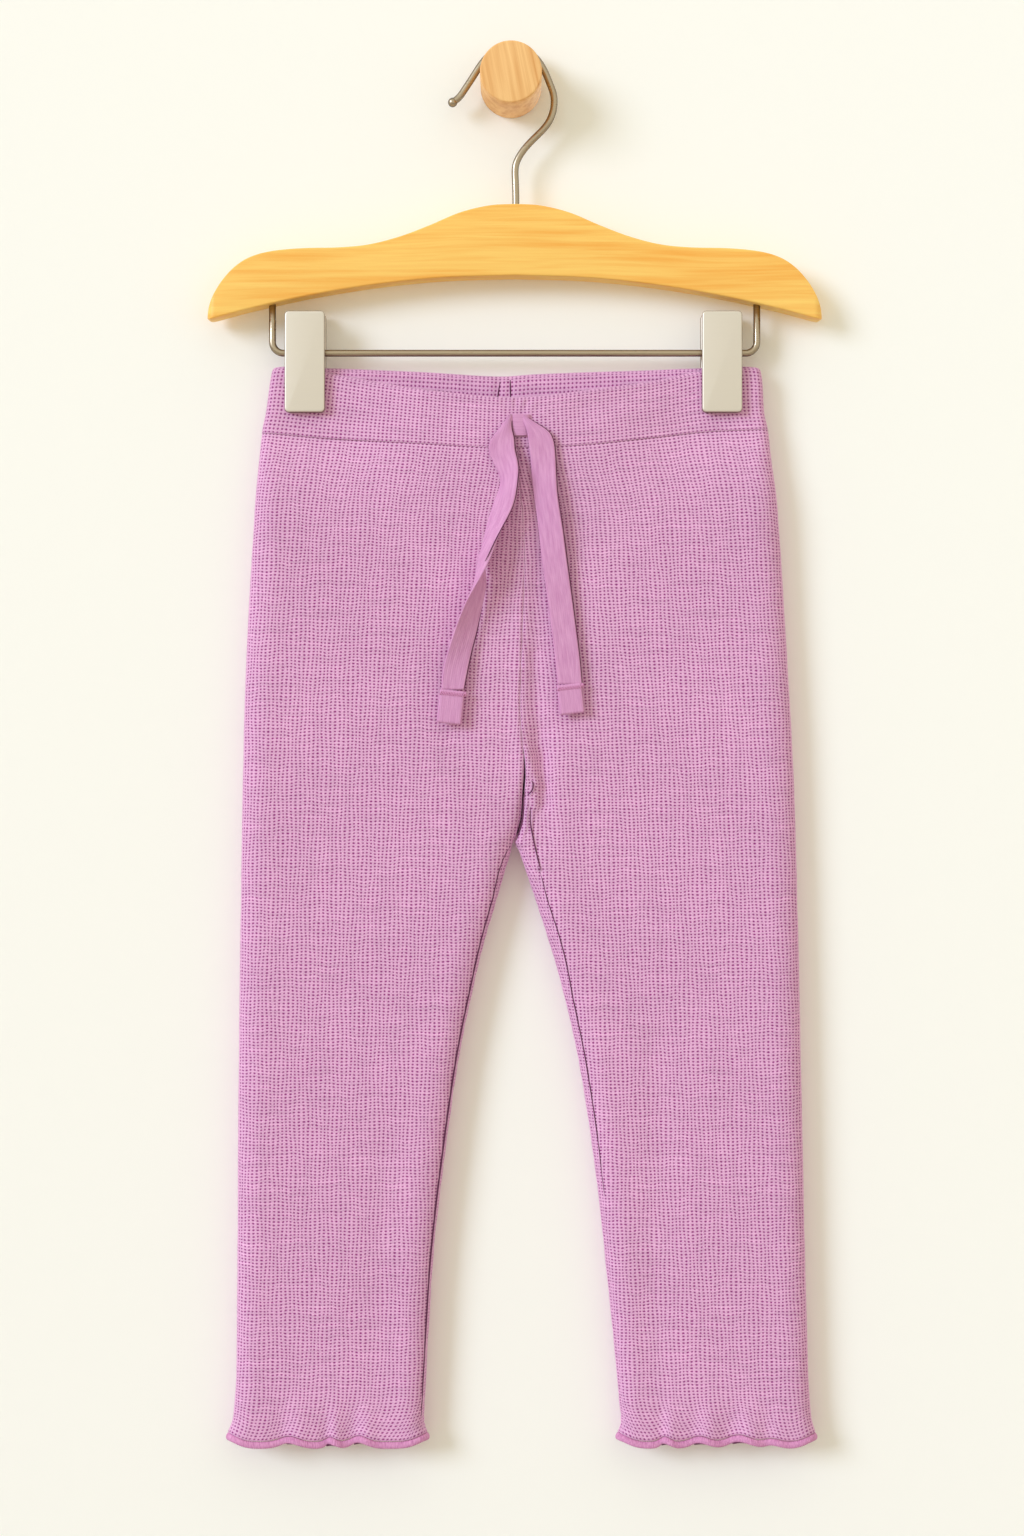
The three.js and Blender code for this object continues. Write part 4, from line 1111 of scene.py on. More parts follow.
@dataclass
class Waistband:
    """The waistband: a strip of knit folded double, once round the waist."""

    samples: int = 400
    measured_z: float = -160.0
    right_x: float = -119.0
    width: float = 242.0
    row_count: int = 18
    turn_share: float = 0.06
    top_radius: float = BAND_WALL / 2
    seam_drop: float = 0.12
    seam_share: float = 0.125
    overlap: float = 0.5

    def loop(self) -> list[tuple[Side, float]]:
        """The columns once round: front from the right fold to the left one, then back again."""
        share = eased(self.samples)
        z = np.full_like(share, self.measured_z)
        right, left = SIDE_FOLDS.read("right", z), SIDE_FOLDS.read("left", z)
        columns = []
        for side in (Side.FRONT, Side.BACK):
            walk = walked(wall_point(side, z, right, left, share, 1.0, 0.0))
            count = int(round(walk[-1] / PIT_WIDTH))
            even = np.interp(np.linspace(0, walk[-1], count + 1), walk, share)[:-1]
            if side is Side.BACK:
                even = 1 - even
            columns += [(side, float(part)) for part in even]
        return columns

    def rows(self) -> list[tuple[float, float]]:
        """Rows as (share of the height from the top, inset), from the outer seam over the top and down."""
        outer = np.linspace(1, self.turn_share, self.row_count)
        rows = [(float(share), 0.0) for share in outer]
        for angle in np.radians([30, 60, 90, 120, 150]):
            height = self.turn_share * (1 - math.sin(angle))
            rows.append((height, self.top_radius * (1 - math.cos(angle))))
        rows += [(float(share), BAND_WALL) for share in outer[::-1]]
        return rows

    def places(self) -> tuple[np.ndarray, np.ndarray]:
        """The band's points and pattern, by row and column."""
        columns = self.loop()
        share, inset = np.array(self.rows()).T
        places = np.empty((len(share) + 1, len(columns) + 1, 3))
        for c, (side, part) in enumerate(columns):
            places[:-1, c] = self.column(side, part, share, inset)
        places[:, -1] = places[:, 0]
        places[-1] = places[0]
        steps = np.meshgrid(np.arange(len(columns) + 1.0), np.arange(len(share) + 1.0))
        return places, np.stack(steps, axis=-1)

    def column(self, side: Side, part: float, share: np.ndarray, inset: np.ndarray) -> np.ndarray:
        """The points of one column, up the outside and down the inside."""
        guess = np.full_like(share, self.right_x + part * self.width)
        top = WAIST_LINES.read(side.word, guess)
        bottom = WAIST_LINES.read("seam", guess) - self.overlap
        z = top + (bottom - top) * share
        right, left = SIDE_FOLDS.read("right", z), SIDE_FOLDS.read("left", z)
        points = wall_point(side, z, right, left, np.full_like(share, part), 1.0, inset)
        drop = self.seam_drop * bell(1 - share, self.seam_share) * np.where(inset > self.top_radius, -1, 1)
        points[:, 1] -= side.value * drop
        return points

    def build(self, finishes: Finishes) -> bpy.types.Object:
        """Makes the waistband.

        Args:
            finishes: The object's materials.

        Returns:
            The waistband's object.
        """
        places, pattern = self.places()
        mesh = placed_grid(places, pattern, wraps=True)
        sink_pits(mesh, mesh.faces[:])
        nodes = ("waistband_front", "waistband_back")
        return finished("waistband", mesh, finishes.knit, nodes)


# Deep seam lines, dark with painted shade: the side, how deep in the wall they lie, half their width, and
# their marks in x and z
SEAM_SHADE_LINES = (
    ("rise", Side.FRONT, 0.1, 0.4, ((6.3, -349.5), (6.1, -354.7), (5.6, -361.5), (2.6, -371.5))),
    ("pocket", Side.FRONT, 0.15, 0.34, ((10.0, -342.2), (10.7, -344), (10.3, -346.9), (7.8, -349.6))),
    ("inseam_left", Side.FRONT, 0.15, 0.34,
     ((9.6, -355.0), (9.6, -363.5), (11.0, -371.0), (12.6, -378.4), (14.7, -386.6))),
    ("back_left", Side.BACK, BAND_WALL, 0.34, ((-5.3, -146.5), (-6.0, -150.5), (-6.8, -156.4))),
    ("back_right", Side.BACK, BAND_WALL, 0.34, ((-0.4, -145.4), (-0.3, -150), (-0.15, -156.4))),
)

# The inseams' dark lines of painted shade: the leg, depth and half width as above, and the top and the bottom
INSEAM_SHADE_LINES = (
    ("inseam_right", Leg.RIGHT, 0.1, 0.5, (-374.5, -655.0)),
    ("inseam_left_low", Leg.LEFT, 0.12, 0.34, (-384.0, -545.0)),
)

# Painted shade in the hollows under the arches of the front hems, as dark lines: the leg, depth and half
# width, the middle and half length
HEM_HOLLOW_SHADES = (
    ("hollow_1", Leg.RIGHT, 0.6, 0.5, (-107.5, 2.0)), ("hollow_2", Leg.RIGHT, 0.6, 0.9, (-87.8, 2.4)),
    ("hollow_3", Leg.RIGHT, 0.6, 0.5, (-73.5, 3.2)), ("hollow_4", Leg.LEFT, 0.6, 0.5, (75.6, 2.2)),
    ("hollow_5", Leg.LEFT, 0.6, 0.6, (92.7, 3.4)), ("hollow_6", Leg.LEFT, 0.6, 0.6, (112.2, 4.2)),
)


@dataclass
class SeamShadeLine:
    """A dark line of painted shade where two edges of cloth meet deep in a seam."""

    word: str
    side: Side
    depth: float
    radius: float
    marks: Sequence
    stations: int = 40
    sides: int = 8
    tip: float = 0.15

    def path(self) -> np.ndarray:
        """The line's middle, near the wall's outer face."""
        flat = smooth_path([(x, 0.0, z) for x, z in self.marks], self.stations)
        reach = wall_depth(self.side, flat[:, 0], flat[:, 2]) - self.depth
        flat[:, 1] = MIDDLE_Y + self.side.value * reach
        return flat

    def build(self, finishes: Finishes) -> bpy.types.Object:
        """Makes the line.

        Args:
            finishes: The object's materials.

        Returns:
            The line's object.
        """
        path = self.path()
        out = repeated((0, self.side.value, 0), len(path))
        section = round_section(tapered(self.radius, self.tip, len(path)), self.sides)
        mesh = swept(path, np.cross(out, directions(path)), out, section)
        return finished(f"seam_{self.word}", mesh, finishes.seam)


@dataclass
class InseamShadeLine(SeamShadeLine):
    """The painted shade of an inseam down a leg: a dark line beside its inner fold."""

    leg: Leg = Leg.RIGHT
    stations: int = 160

    def path(self) -> np.ndarray:
        """The line's middle, a little inside the inner fold."""
        top, bottom = self.marks
        z = np.linspace(top, bottom, self.stations)
        outer = SIDE_FOLDS.read(self.leg.word, z)
        inner = INNER_FOLDS.read(self.leg.word, z)
        inset = INSEAM_INSETS.read(self.leg.word, z)
        share = 1 - inset / np.abs(inner - outer)
        return wall_point(self.side, z, outer, inner, share, 1.0, self.depth, self.leg)


@dataclass
class HemHollowShade(SeamShadeLine):
    """The painted shade in the hollow under one arch of a cuff's rolled edge."""

    leg: Leg = Leg.RIGHT
    stations: int = 24

    def path(self) -> np.ndarray:
        """The hollow's middle, just under the rolled edge."""
        middle, half = self.marks
        x = np.linspace(middle - half, middle + half, self.stations)
        z = np.full_like(x, PANEL_BOTTOM_Z)
        _, lift = ruffle(self.leg, self.side, x, z)
        reach = wall_depth(self.side, x, z) - self.depth
        low = z + lift - HEM_HEIGHT - HEM_GAP / 2
        return np.column_stack([x, MIDDLE_Y + self.side.value * reach, low])


def seam_shade_lines() -> list[SeamShadeLine]:
    """All the dark lines of painted shade in the cloth's seams and hollows."""
    lines = [SeamShadeLine(*line) for line in SEAM_SHADE_LINES]
    for kind, rows in ((InseamShadeLine, INSEAM_SHADE_LINES), (HemHollowShade, HEM_HOLLOW_SHADES)):
        lines += [kind(word, Side.FRONT, depth, radius, marks, leg=leg)
                  for word, leg, depth, radius, marks in rows]
    return lines


@dataclass
class RolledHem:
    """The overlocked, rolled edge of one cuff, ruffled with the cloth."""

    leg: Leg
    wrap_pitch: float = 0.9
    steps_per_wrap: int = 4
    wrap_rise: float = 0.22
    sides: int = 10
    samples: int = 300

    def loop(self, count: int) -> np.ndarray:
        """The middle line of the cuff, once round, at equal steps."""
        z = np.full(self.samples, PANEL_BOTTOM_Z)
        outer = SIDE_FOLDS.read(self.leg.word, z)
        inner = INNER_FOLDS.read(self.leg.word, z)
        walls = [wall_point(side, z, outer, inner, eased(self.samples), 1.0, KNIT_WALL / 2, self.leg)
                 for side in (Side.FRONT, Side.BACK)]
        ring = np.concatenate([walls[0], walls[1][::-1][1:]])
        walk = walked(ring)
        return sampled(np.linspace(0, walk[-1], count, endpoint=False), walk, ring)

    def build(self, finishes: Finishes) -> bpy.types.Object:
        """Makes the hem.

        Args:
            finishes: The object's materials.

        Returns:
            The hem's object.
        """
        wraps = int(round(walked(self.loop(2 * self.samples))[-1] / self.wrap_pitch))
        path = self.loop(wraps * self.steps_per_wrap)
        path[:, 2] -= HEM_GAP / 2 + HEM_HEIGHT / 2
        ahead = directions(path * np.array([1, 1, 0]), closed=True)
        across = np.column_stack([-ahead[:, 1], ahead[:, 0], np.zeros(len(path))])
        upward = repeated((0, 0, 1), len(path))
        angle = 2 * np.pi * np.arange(self.sides) / self.sides
        phase = 2 * np.pi * np.arange(len(path)) / self.steps_per_wrap
        thread = self.wrap_rise * (np.sin(phase[:, None] + angle[None, :]) - 1) / 2
        wide = np.cos(angle)[None, :] * (HEM_THICKNESS / 2 + thread)
        high = np.sin(angle)[None, :] * (HEM_HEIGHT / 2 + thread)
        lean = HEM_FLARE * (1 - np.sin(angle)) / 2
        section = np.stack([wide + self.leg.value * lean[None, :], high], axis=-1)
        mesh = swept(path, across, upward, section, closed=True)
        word = self.leg.word
        return finished(f"hem_{word}", mesh, finishes.hem, [f"hem_{word}"])


TAPE_Y = -21.1
TAPE_THICKNESS = 1.2

# The tape's middle line: x, z, how far out it stands, its turn about its own length in degrees,
# its width, and how far its middle bows out of its edges' plane
TAPE_ROUTES = {
    Leg.RIGHT: (
        (0.0, -164.4, -1.9, 0, 1.8, 0.4), (-2.0, -168.9, -0.5, 0, 4.6, 0.6), (-3.2, -172.8, 0.1, 0, 8.0, 0.4),
        (-4.2, -177, 0.5, -4, 11.6, 0), (-4.5, -181.4, 0.9, -10, 13, 0), (-3.2, -186, 1.5, -20, 13, 0),
        (-1.8, -190.8, 2.2, -33, 12.6, 0.2), (-1.1, -196, 2.7, -45, 12.4, 0.4),
        (-1.8, -201, 2.8, -44, 12.4, 0.3), (-3.7, -207.6, 2.8, -36, 12.4, 0.2),
        (-7.7, -218, 2.9, -46, 12.4, 0.4), (-10.5, -225, 3.2, -56, 12.4, 0.9),
        (-13.1, -233.7, 3.8, -72, 12.4, 1.8), (-14.9, -243, 4.0, -100, 12.4, 1.9),
        (-17.5, -253.5, 3.5, -127, 12.4, 0.9), (-19.9, -261.5, 2.8, -140, 12.4, 0.4),
        (-22.2, -269.6, 2.1, -151, 12.4, 0.1), (-24.6, -278, 1.4, -160, 12.2, 0),
        (-27.0, -288, 0.8, -172, 12, 0), (-28.4, -298, 0.4, -180, 11, 0),
    ),
    Leg.LEFT: (
        (6.0, -164.6, -1.9, 0, 1.8, 0.3), (9.4, -168.4, -0.5, 0, 6.0, 0.3), (13.1, -172.7, 0.1, 0, 10.6, 0.1),
        (14.6, -177.6, 0.4, 0, 12.3, 0), (15.4, -184, 0.5, -3, 12.3, 0), (15.9, -193, 0.8, -12, 12.3, 0.1),
        (16.7, -203, 1.1, -20, 12.3, 0.2), (18.7, -216.5, 1.1, -19, 12.3, 0.1),
        (20.5, -230.6, 0.7, -11, 12.2, 0), (22.3, -244, 0.3, -4, 12.1, 0), (24.1, -257, 0.1, 0, 12, 0),
        (25.8, -270, 0, 0, 12, 0), (27.4, -283, 0, 0, 12, 0), (28.5, -295.4, 0, 0, 12, 0),
    ),
}

# The ends of the tails: the tab's middle at its top and at its bottom
TAB_ENDS = {
    Leg.RIGHT: ((-28.5, -298.4), (-30.2, -314.6)),
    Leg.LEFT: ((28.2, -295.4), (29.8, -309.9)),
}


@dataclass
class DrawstringTail:
    """One tail of the drawstring: a ribbed flat tape, with a folded and sewn end."""

    leg: Leg
    ribs: int = 12
    rib_rise: float = 0.16
    points_per_rib: int = 3
    edge_power: int = 14
    stations: int = 150
    tab_thickness: float = 2.6
    tab_width: float = 12.0
    tab_stations: int = 30
    fold_radius: float = 1.1
    fold_tip: float = 0.12
    fold_narrowing: float = 0.8
    start_run: float = 0.6
    start_share: float = 0.5
    stitch_count: int = 15
    stitch_slant: float = 0.5
    stitch_drop: float = 1.9
    stitch_margin: float = 0.5
    stitch_size: tuple = (0.3, 0.28, 1.1)
    knot_drop: float = 1.4
    knot_out: float = 0.4
    knot_size: tuple = (0.9, 0.9, 1.3)
    # The painted shadow under the tape's right-hand edge: its radius, tip, least turn, stations and sides
    shadow_line_radius: float = 0.36
    shadow_line_tip: float = 0.3
    shadow_line_turn: float = 0.15
    shadow_line_stations: int = 8
    shadow_line_sides: int = 8

    def path(self) -> np.ndarray:
        """The middle line: X, Y, Z, turn, width and bow."""
        route = TAPE_ROUTES[self.leg]
        marks = [(x, TAPE_Y - out, z, *shape) for x, z, out, *shape in route]
        return smooth_path(marks, self.stations)

    def axes(self, path: np.ndarray) -> tuple[np.ndarray, np.ndarray]:
        """The tape's sideways and outward axes along its path. The sideways one stays level."""
        turn = np.radians(path[:, 3])
        side = np.column_stack([-np.cos(turn), -np.sin(turn), np.zeros(len(path))])
        face = np.cross(side, directions(path[:, :3]))
        return side, face / np.linalg.norm(face, axis=1)[:, None]

    def ribbed(self, width: np.ndarray, thickness: np.ndarray, bow: np.ndarray) -> np.ndarray:
        """The tape's section at each station: ribs on both faces, with soft edges.

        Args:
            width: The tape's width at each station.
            thickness: Its thickness there.
            bow: How far its middle stands out of its edges' plane.

        Returns:
            Offsets sideways and outwards, by station and point.
        """
        count = self.ribs * self.points_per_rib
        across = np.linspace(-1, 1, count + 1)
        rib = np.abs(np.sin(np.pi * np.arange(count + 1) / self.points_per_rib))
        edge = np.sqrt(np.clip(1 - np.abs(across) ** self.edge_power, 0, 1))
        rise = self.rib_rise * (rib - 1)
        upper = (thickness[:, None] / 2 + rise[None, :]) * edge[None, :]
        arch = bow[:, None] * (1 - 2 * across ** 2)[None, :]
        half = width[:, None] / 2 * across[None, :]
        front = np.stack([half, arch + upper], axis=-1)
        back = np.stack([half, arch - upper], axis=-1)[:, ::-1]
        return np.concatenate([front, back[:, 1:-1]], axis=1)

    def build_tape(self, finishes: Finishes) -> bpy.types.Object:
        """Makes the hanging tape."""
        path = self.path()
        side, face = self.axes(path)
        section = self.ribbed(path[:, 4], np.full(len(path), TAPE_THICKNESS), path[:, 5])
        mesh = swept(path[:, :3], side, face, section)
        word = self.leg.word
        return finished(f"drawstring_tail_{word}", mesh, finishes.tape, [f"drawstring_tail_{word}"])

    def tab_frame(self) -> tuple[np.ndarray, np.ndarray, np.ndarray, float]:
        """The tab's top, its direction, its sideways direction and its length."""
        depth = self.path()[-1, 1]
        (top_x, top_z), (end_x, end_z) = TAB_ENDS[self.leg]
        top = np.array([top_x, depth, top_z])
        run = np.array([end_x, depth, end_z]) - top
        length = float(np.linalg.norm(run))
        ahead = run / length
        return top, ahead, np.cross(ahead, [0, -1, 0]), length

    def build_tab(self, finishes: Finishes) -> bpy.types.Object:
        """Makes the folded end, which is round at its lower fold."""
        top, ahead, across, length = self.tab_frame()
        travel = length * np.cos(np.pi / 2 * np.linspace(0, 1, self.tab_stations))[::-1]
        line = top + ahead * travel[:, None]
        round_end = fold_profile(length - travel, self.fold_radius)
        start = np.clip(travel / self.start_run, self.start_share, 1)
        side = repeated(across, len(line))
        face = np.cross(side, repeated(ahead, len(line)))
        thickness = self.tab_thickness * start * (self.fold_tip + (1 - self.fold_tip) * round_end)
        width = self.tab_width - self.fold_narrowing * (1 - round_end)
        mesh = swept(line, side, face, self.ribbed(width, thickness, np.zeros(len(line))))
        word = self.leg.word
        return finished(f"drawstring_tab_{word}", mesh, finishes.tape, [f"drawstring_tab_{word}"])

    def build_stitches(self, finishes: Finishes) -> bpy.types.Object:
        """Makes the bar of close, slanted stitches across the top of the tab, with a knot at its end."""
        top, ahead, across, _ = self.tab_frame()
        front = np.array([0, -self.tab_thickness / 2, 0])
        mesh = bmesh.new()
        slant = Matrix.Rotation(self.stitch_slant, 4, "Y") @ scaled(self.stitch_size)
        reach = self.tab_width / 2 - self.stitch_margin
        for offset in np.linspace(-reach, reach, self.stitch_count):
            middle = top + ahead * self.stitch_drop + across * offset + front
            bmesh.ops.create_uvsphere(mesh, u_segments=8, v_segments=6, radius=1,
                                      matrix=moved_to(middle) @ slant)
        nub = top + ahead * self.knot_drop - across * (self.tab_width / 2 + self.knot_out)
        bmesh.ops.create_uvsphere(mesh, u_segments=10, v_segments=8, radius=1,
                                  matrix=moved_to(nub) @ scaled(self.knot_size))
        return finished(f"tab_stitches_{self.leg.word}", mesh, finishes.hem)

    def build_edge_shadows(self, finishes: Finishes) -> list[bpy.types.Object]:
        """Makes the painted shadow under the tape's right-hand edge: a dark line, in one run for each face.
        """
        path = self.path()
        turn = np.radians(path[:, 3])
        facing = np.cos(turn)
        pieces = []
        for word, way in (("front", 1.0), ("back", -1.0)):
            run = facing * way > self.shadow_line_turn
            if run.sum() < self.shadow_line_stations:
                continue
            half = path[run, 4] / 2 + self.shadow_line_radius / 2
            line = path[run, :3].copy()
            line[:, 0] += np.abs(facing[run]) * half
            line[:, 1] += way * np.sin(turn[run]) * half + TAPE_THICKNESS / 2
            out = repeated((0, -1, 0), len(line))
            section = round_section(tapered(self.shadow_line_radius, self.shadow_line_tip, len(line)), self.shadow_line_sides)
            mesh = swept(line, np.cross(out, directions(line)), out, section)
            pieces.append(finished(f"tape_shadow_{self.leg.word}_{word}", mesh, finishes.seam))
        return pieces

    def build(self, finishes: Finishes, extra: Sequence[bpy.types.Object]) -> bpy.types.Object:
        """Args:
            finishes: The object's materials.
            extra: Other pieces that belong to this tail; not used.

        Returns:
            The tail's object.
        """
        tape = self.build_tape(finishes)
        tab = self.build_tab(finishes)
        stitches = self.build_stitches(finishes)
        edges = self.build_edge_shadows(finishes)
        path = self.path()[:, :3]
        return tape


@dataclass
class TapeBridge:
    """The short stretch of tape that shows between the two tails."""

    x_from: float = -0.8
    x_to: float = 9.4
    middle_z: float = -169.2
    height: float = 10.6
    out: float = -19.6
    sink: float = 1.6
    stations: int = 20

    def build(self, finishes: Finishes) -> bpy.types.Object:
        """Makes the bridge."""
        x = np.linspace(self.x_from, self.x_to, self.stations)
        out = self.out + self.sink * np.linspace(-1, 1, self.stations) ** 4
        flat = np.ones(self.stations)
        line = np.column_stack([x, out, self.middle_z * flat])
        upward, outward = repeated((0, 0, 1), self.stations), repeated((0, -1, 0), self.stations)
        section = DrawstringTail(Leg.RIGHT).ribbed(self.height * flat, TAPE_THICKNESS * flat, 0 * flat)
        mesh = swept(line, upward, outward, section)
        return finished("drawstring_bridge", mesh, finishes.tape, ["drawstring_bridge"])


BAR_Z = -132.8
HANGER_CENTRE_X = 1.8
HANGER_TOP = Table("out z", [
    (0, -60.6), (12.2, -61.3), (26.8, -64.8), (41.5, -71.0), (56.1, -76.5), (70.8, -80.3), (85.4, -81.8),
    (105, -82.3), (119.6, -83.8), (129.4, -86.6), (136.7, -91.2), (143, -98), (147.4, -105.2),
    (149.6, -110.8), (150.4, -115),
])
HANGER_UNDERSIDE = Table("out z", [
    (0, -95.6), (31.7, -96.5), (56.1, -98.6), (80.5, -101.9), (105, -106.3), (129.4, -111.8),
    (140, -114.6), (148.6, -116.8), (150.4, -116.2),
])

# The hook's middle line in x and z, on both sides of its bend round the peg
HOOK_END = ((-28.6, -9.8), (-26.2, -8.0), (-22.9, -3.8), (-19.2, 1.8))
HOOK_SHANK = ((19.3, -1.3), (20.8, -5.8), (21, -12), (18.3, -19.7), (11.4, -27.4), (4.95, -34.9),
              (2.3, -40.7), (2.1, -47), (2.1, -78))


@dataclass
class Hanger:
    """The wooden board, its hook and its clip bar."""

    thickness: float = 12.0
    edge: float = 0.9
    corner_points: int = 7
    tip: float = 150.4
    tip_height: float = 0.1
    tip_run: float = 4.0
    tip_share: float = 0.3
    stations: int = 221
    wire_radius: float = 1.7
    ball_radius: float = 2.3
    bar_bend: float = 5.5
    bar_half_width: float = 118.75
    bar_bend_points: int = 13
    bar_hole_depth: float = 8.0
    hook_bend_radius: float = 17.05
    hook_bend_from: float = 147.0
    hook_bend_to: float = 30.0
    hook_bend_points: int = 7
    hook_stations: int = 220

    def section(self, top: float, bottom: float, half_depth: float) -> np.ndarray:
        """A rounded rectangle of the board, as depth and height offsets from its middle."""
        half = max(top - bottom, self.tip_height) / 2
        radius = min(self.edge, half, half_depth)
        points = []
        for start, depth_sign, height_sign in ((0, 1, 1), (90, -1, 1), (180, -1, -1), (270, 1, -1)):
            for angle in np.radians(np.linspace(start, start + 90, self.corner_points)):
                depth = depth_sign * (half_depth - radius) + radius * math.cos(angle)
                height = height_sign * (half - radius) + radius * math.sin(angle)
                points.append((depth, height))
        return np.array(points)

    def build_board(self, finishes: Finishes) -> bpy.types.Object:
        """Lofts the board through its sections, from tip to tip."""
        angle = np.linspace(-np.pi / 2, np.pi / 2, self.stations)
        out = self.tip * np.sin(angle)
        top = HANGER_TOP.read("z", np.abs(out))
        bottom = np.minimum(HANGER_UNDERSIDE.read("z", np.abs(out)), top - self.tip_height)
        rounding = fold_profile(self.tip - np.abs(out), self.tip_run)
        half_depth = self.thickness / 2 * (self.tip_share + (1 - self.tip_share) * rounding)
        section = np.array([self.section(t, b, d) for t, b, d in zip(top, bottom, half_depth)])
        path = np.column_stack([HANGER_CENTRE_X + out, np.full(len(out), MIDDLE_Y), (top + bottom) / 2])
        mesh = swept(path, repeated((0, 1, 0), len(path)), repeated((0, 0, 1), len(path)), section)
        return finished("hanger_board", mesh, finishes.hanger, ["hanger_board"])

    def hook_path(self) -> np.ndarray:
        """The hook's middle line, from its ball over the peg and down into the board."""
        angles = np.radians(np.linspace(self.hook_bend_from, self.hook_bend_to, self.hook_bend_points))
        bend = self.hook_bend_radius * np.column_stack([np.cos(angles), np.sin(angles)])
        marks = [(x, MIDDLE_Y, z) for x, z in (*HOOK_END, *bend, *HOOK_SHANK)]
        return smooth_path(marks, self.hook_stations)

    def build_hook(self, finishes: Finishes) -> bpy.types.Object:
        """Makes the hook with its ball end."""
        path = self.hook_path()
        mesh = wire(path, self.wire_radius)
        bmesh.ops.create_uvsphere(mesh, u_segments=28, v_segments=16, radius=self.ball_radius * MM,
                                  matrix=moved_to(path[0]))
        return finished("hook", mesh, finishes.wire, ["hook"])

    def bar_path(self) -> np.ndarray:
        """The clip bar's middle line, with both its ends turned up into the board."""
        top = float(HANGER_UNDERSIDE.read("z", np.array(self.bar_half_width))) + self.bar_hole_depth
        turn = np.radians(np.linspace(0, 90, self.bar_bend_points))
        corner_x = self.bar_half_width - self.bar_bend * (1 - np.cos(turn))
        corner_z = BAR_Z + self.bar_bend * (1 - np.sin(turn))
        half_x = np.concatenate([[self.bar_half_width], corner_x])
        half_z = np.concatenate([[top], corner_z])
        x = HANGER_CENTRE_X + np.concatenate([-half_x, half_x[::-1]])
        z = np.concatenate([half_z, half_z[::-1]])
        return np.column_stack([x, np.full(len(x), MIDDLE_Y), z])

    def build_bar(self, finishes: Finishes) -> bpy.types.Object:
        """Makes the clip bar."""
        mesh = wire(self.bar_path(), self.wire_radius)
        return finished("clip_bar", mesh, finishes.wire, ["clip_bar"])

    def build(self, finishes: Finishes) -> None:
        """Makes the board, the hook and the bar.

        Args:
            finishes: The object's materials.
        """
        self.build_board(finishes)
        self.build_hook(finishes)
        self.build_bar(finishes)


def runs_through(edge: bmesh.types.BMEdge) -> bool:
    """Whether an edge runs through a plate, along Y, and not round its rim."""
    half_way = 0.5
    return abs((edge.verts[0].co - edge.verts[1].co).normalized().y) > half_way


@dataclass
class Clip:
    """One clip: two plates that pinch the waistband, and the spring on the bar between them."""

    leg: Leg
    width: float = 19.6
    plate: float = 4.0
    corner: float = 2.0
    edge: float = 0.8
    coil_radius: float = 2.35
    coil_wire: float = 0.42
    coil_turns: int = 11
    coil_steps: int = 20
    coil_sides: int = 8
    coil_length: float = 12.0
    jaw_gap: float = 0.3

    @property
    def middle_x(self) -> float:
        """The clip's middle along the bar."""
        return CLIP_MIDDLE_X + self.leg.value * CLIP_OFFSET

    def build_plate(self, side: Side, finishes: Finishes) -> bpy.types.Object:
        """Makes one plate: a block with rounded corners and softened edges."""
        height = CLIP_TOP_Z - CLIP_BOTTOM_Z
        jaw = PINCHED_HALF_DEPTH + self.jaw_gap + self.plate / 2
        middle = (self.middle_x, MIDDLE_Y + side.value * jaw, (CLIP_TOP_Z + CLIP_BOTTOM_Z) / 2)
        size = scaled((self.width, self.plate, height))
        mesh = bmesh.new()
        bmesh.ops.create_cube(mesh, size=1.0, matrix=moved_to(middle) @ size)
        soften(mesh, [edge for edge in mesh.edges if runs_through(edge)], self.corner, segments=6)
        soften(mesh, [edge for edge in mesh.edges if not runs_through(edge)], self.edge, segments=4)
        word = f"clip_{self.leg.word}_{side.word}"
        return finished(word, mesh, finishes.clip, [word])

    def build_spring(self, finishes: Finishes) -> bpy.types.Object:
        """Makes the coiled spring round the bar."""
        turn = np.linspace(0, 2 * np.pi * self.coil_turns, self.coil_turns * self.coil_steps)
        x = self.middle_x + self.coil_length * (turn / turn[-1] - 0.5)
        radial = np.column_stack([np.zeros(len(turn)), np.cos(turn), np.sin(turn)])
        path = np.array([0, MIDDLE_Y, BAR_Z]) + radial * self.coil_radius
        path[:, 0] = x
        section = round_section(np.full(len(path), self.coil_wire), self.coil_sides)
        mesh = swept(path, radial, np.cross(directions(path), radial), section)
        word = f"clip_{self.leg.word}_spring"
        return finished(word, mesh, finishes.wire, [word])

    def build(self, finishes: Finishes) -> None:
        """Makes the clip.

        Args:
            finishes: The object's materials.
        """
        for side in Side:
            self.build_plate(side, finishes)
        self.build_spring(finishes)


@dataclass
class Peg:
    """The turned wooden peg on the wall."""

    radius: float = 15.0
    length: float = 31.5
    edge: float = 0.8

    def build(self, finishes: Finishes) -> bpy.types.Object:
        """Makes the peg.

        Args:
            finishes: The object's materials.

        Returns:
            The peg's object.
        """
        mesh = bmesh.new()
        stand = Matrix.Translation((0, -self.length / 2 * MM, 0)) @ Matrix.Rotation(math.pi / 2, 4, "X")
        bmesh.ops.create_cone(mesh, cap_ends=True, segments=96, radius1=self.radius * MM,
                              radius2=self.radius * MM, depth=self.length * MM, matrix=stand)
        front = [e for e in mesh.edges if all(v.co.y < -self.length * MM / 2 for v in e.verts)]
        soften(mesh, front, self.edge, segments=5)
        return finished("peg", mesh, finishes.peg, ["peg"])


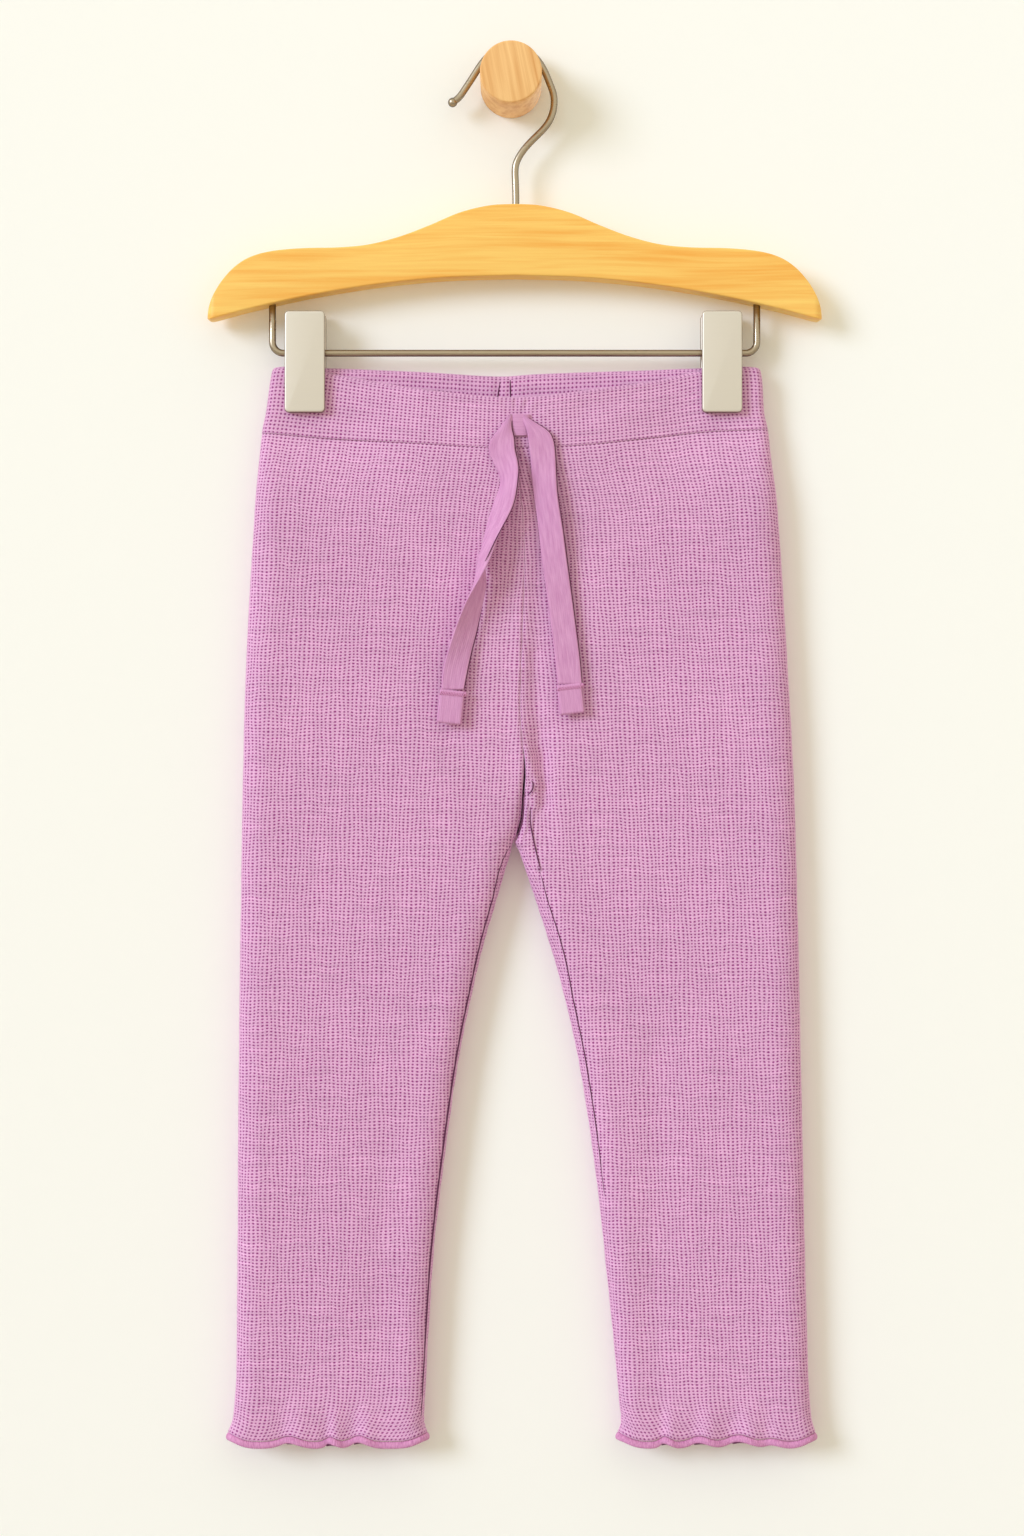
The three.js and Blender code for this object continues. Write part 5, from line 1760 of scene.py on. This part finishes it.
@dataclass
class Stage:
    """The wall, the floor, the lights and the world. Its own sizes are in metres."""

    wall_y: float = 0.0006
    floor_z: float = -0.78
    half_width: float = 3.0
    wall_color: tuple = linear(253, 251, 243)
    floor_color: tuple = linear(186, 178, 166)
    sun_strength: float = 1.84
    sun_angle: float = 0.42
    sun_color: tuple = (0.68, 0.78, 1.0)
    sun_from: tuple = (-1.2, -1.0, 0.5)
    rear_energy: float = 12.0
    rear_size: float = 1.5
    rear_from: tuple = (0.5, 2.0, 0.94)
    middle: tuple = (0.0, 0.0, -0.34)
    world_strength: float = 0.9
    world_color: tuple = (1.0, 0.97, 0.825, 1.0)

    def plane(self, name: str, matrix: Matrix, paint: bpy.types.Material) -> None:
        """Makes a painted stage plane."""
        mesh = bmesh.new()
        bmesh.ops.create_grid(mesh, x_segments=1, y_segments=1, size=self.half_width, matrix=matrix)
        plane = mesh_object(name, mesh, paint)

    def paint(self, name: str, color: tuple, one_sided: bool) -> bpy.types.Material:
        """Makes a matt paint, which lets light through from behind where it is one-sided."""
        material, nodes, shader = new_material(name)
        nodes.feed(shader, {"Base Color": color, "Roughness": 0.9, "Specular IOR Level": 0.1})
        if one_sided:
            behind = nodes.add("NewGeometry").outputs["Backfacing"]
            shadow = nodes.add("LightPath").outputs["Is Shadow Ray"]
            clear = nodes.add("BsdfTransparent").outputs[0]
            share = nodes.math("MAXIMUM", behind, shadow)
            mixed = nodes.add("MixShader", {0: share, 1: shader.outputs[0], 2: clear}).outputs[0]
            nodes.feed(material.node_tree.nodes["Material Output"], {"Surface": mixed})
        return material

    def lamp(self, name: str, kind: str, energy: float, toward: Vector) -> bpy.types.Light:
        """Adds a light that shines in a direction."""
        data = bpy.data.lights.new(name, kind)
        data.energy = energy
        lamp = link_object(name, data)
        lamp.rotation_euler = toward.to_track_quat("-Z", "Y").to_euler()
        lamp.location = Vector(self.middle) - toward
        return data

    def build(self) -> None:
        """Makes the stage."""
        upright = Matrix.Translation((0, self.wall_y, 0)) @ Matrix.Rotation(math.pi / 2, 4, "X")
        level = Matrix.Translation((0, 0, self.floor_z))
        self.plane("wall", upright, self.paint("Wall paint", self.wall_color, True))
        self.plane("floor", level, self.paint("Floor paint", self.floor_color, False))
        daylight = self.lamp("daylight", "SUN", self.sun_strength, -Vector(self.sun_from))
        daylight.angle = self.sun_angle
        daylight.color = self.sun_color
        rear = self.lamp("rear", "AREA", self.rear_energy, -Vector(self.rear_from))
        rear.size = self.rear_size
        world = bpy.data.worlds.new("Room")
        bpy.context.scene.world = world
        world.use_nodes = True
        background = world.node_tree.nodes["Background"]
        background.inputs["Color"].default_value = self.world_color
        background.inputs["Strength"].default_value = self.world_strength
        bpy.context.scene.view_settings.view_transform = "Standard"


@dataclass
class Camera:
    """The photograph's camera: level, straight at the wall. Its place is in metres."""

    place: tuple = (0.0005, -1.317, -0.3362)
    lens: float = 62.46
    sensor: float = 36.0

    def build(self) -> None:
        """Makes the camera and gives it to the scene."""
        data = bpy.data.cameras.new("camera")
        data.lens = self.lens
        data.sensor_width = self.sensor
        camera = link_object("camera", data)
        camera.location = self.place
        camera.rotation_euler = (math.pi / 2, 0, 0)
        bpy.context.scene.camera = camera


def main() -> None:
    """Builds the camera and the cords first, then every piece in order."""
    logging.basicConfig(level=logging.INFO, format="%(message)s")
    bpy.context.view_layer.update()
    Camera().build()
    finishes = Finishes.make()
    bridge = TapeBridge().build(finishes)
    for leg in Leg:
        DrawstringTail(leg).build(finishes, [bridge] if leg is Leg.RIGHT else [])
    legs = {leg: LegSheet(leg).build(finishes) for leg in Leg}
    hems = {leg: RolledHem(leg).build(finishes) for leg in Leg}
    band = Waistband().build(finishes)
    seam_shades = [line.build(finishes) for line in seam_shade_lines()]
    for leg in Leg:
        Clip(leg).build(finishes)
    Hanger().build(finishes)
    Peg().build(finishes)
    Stage().build()


if __name__ == "__main__":
    main()
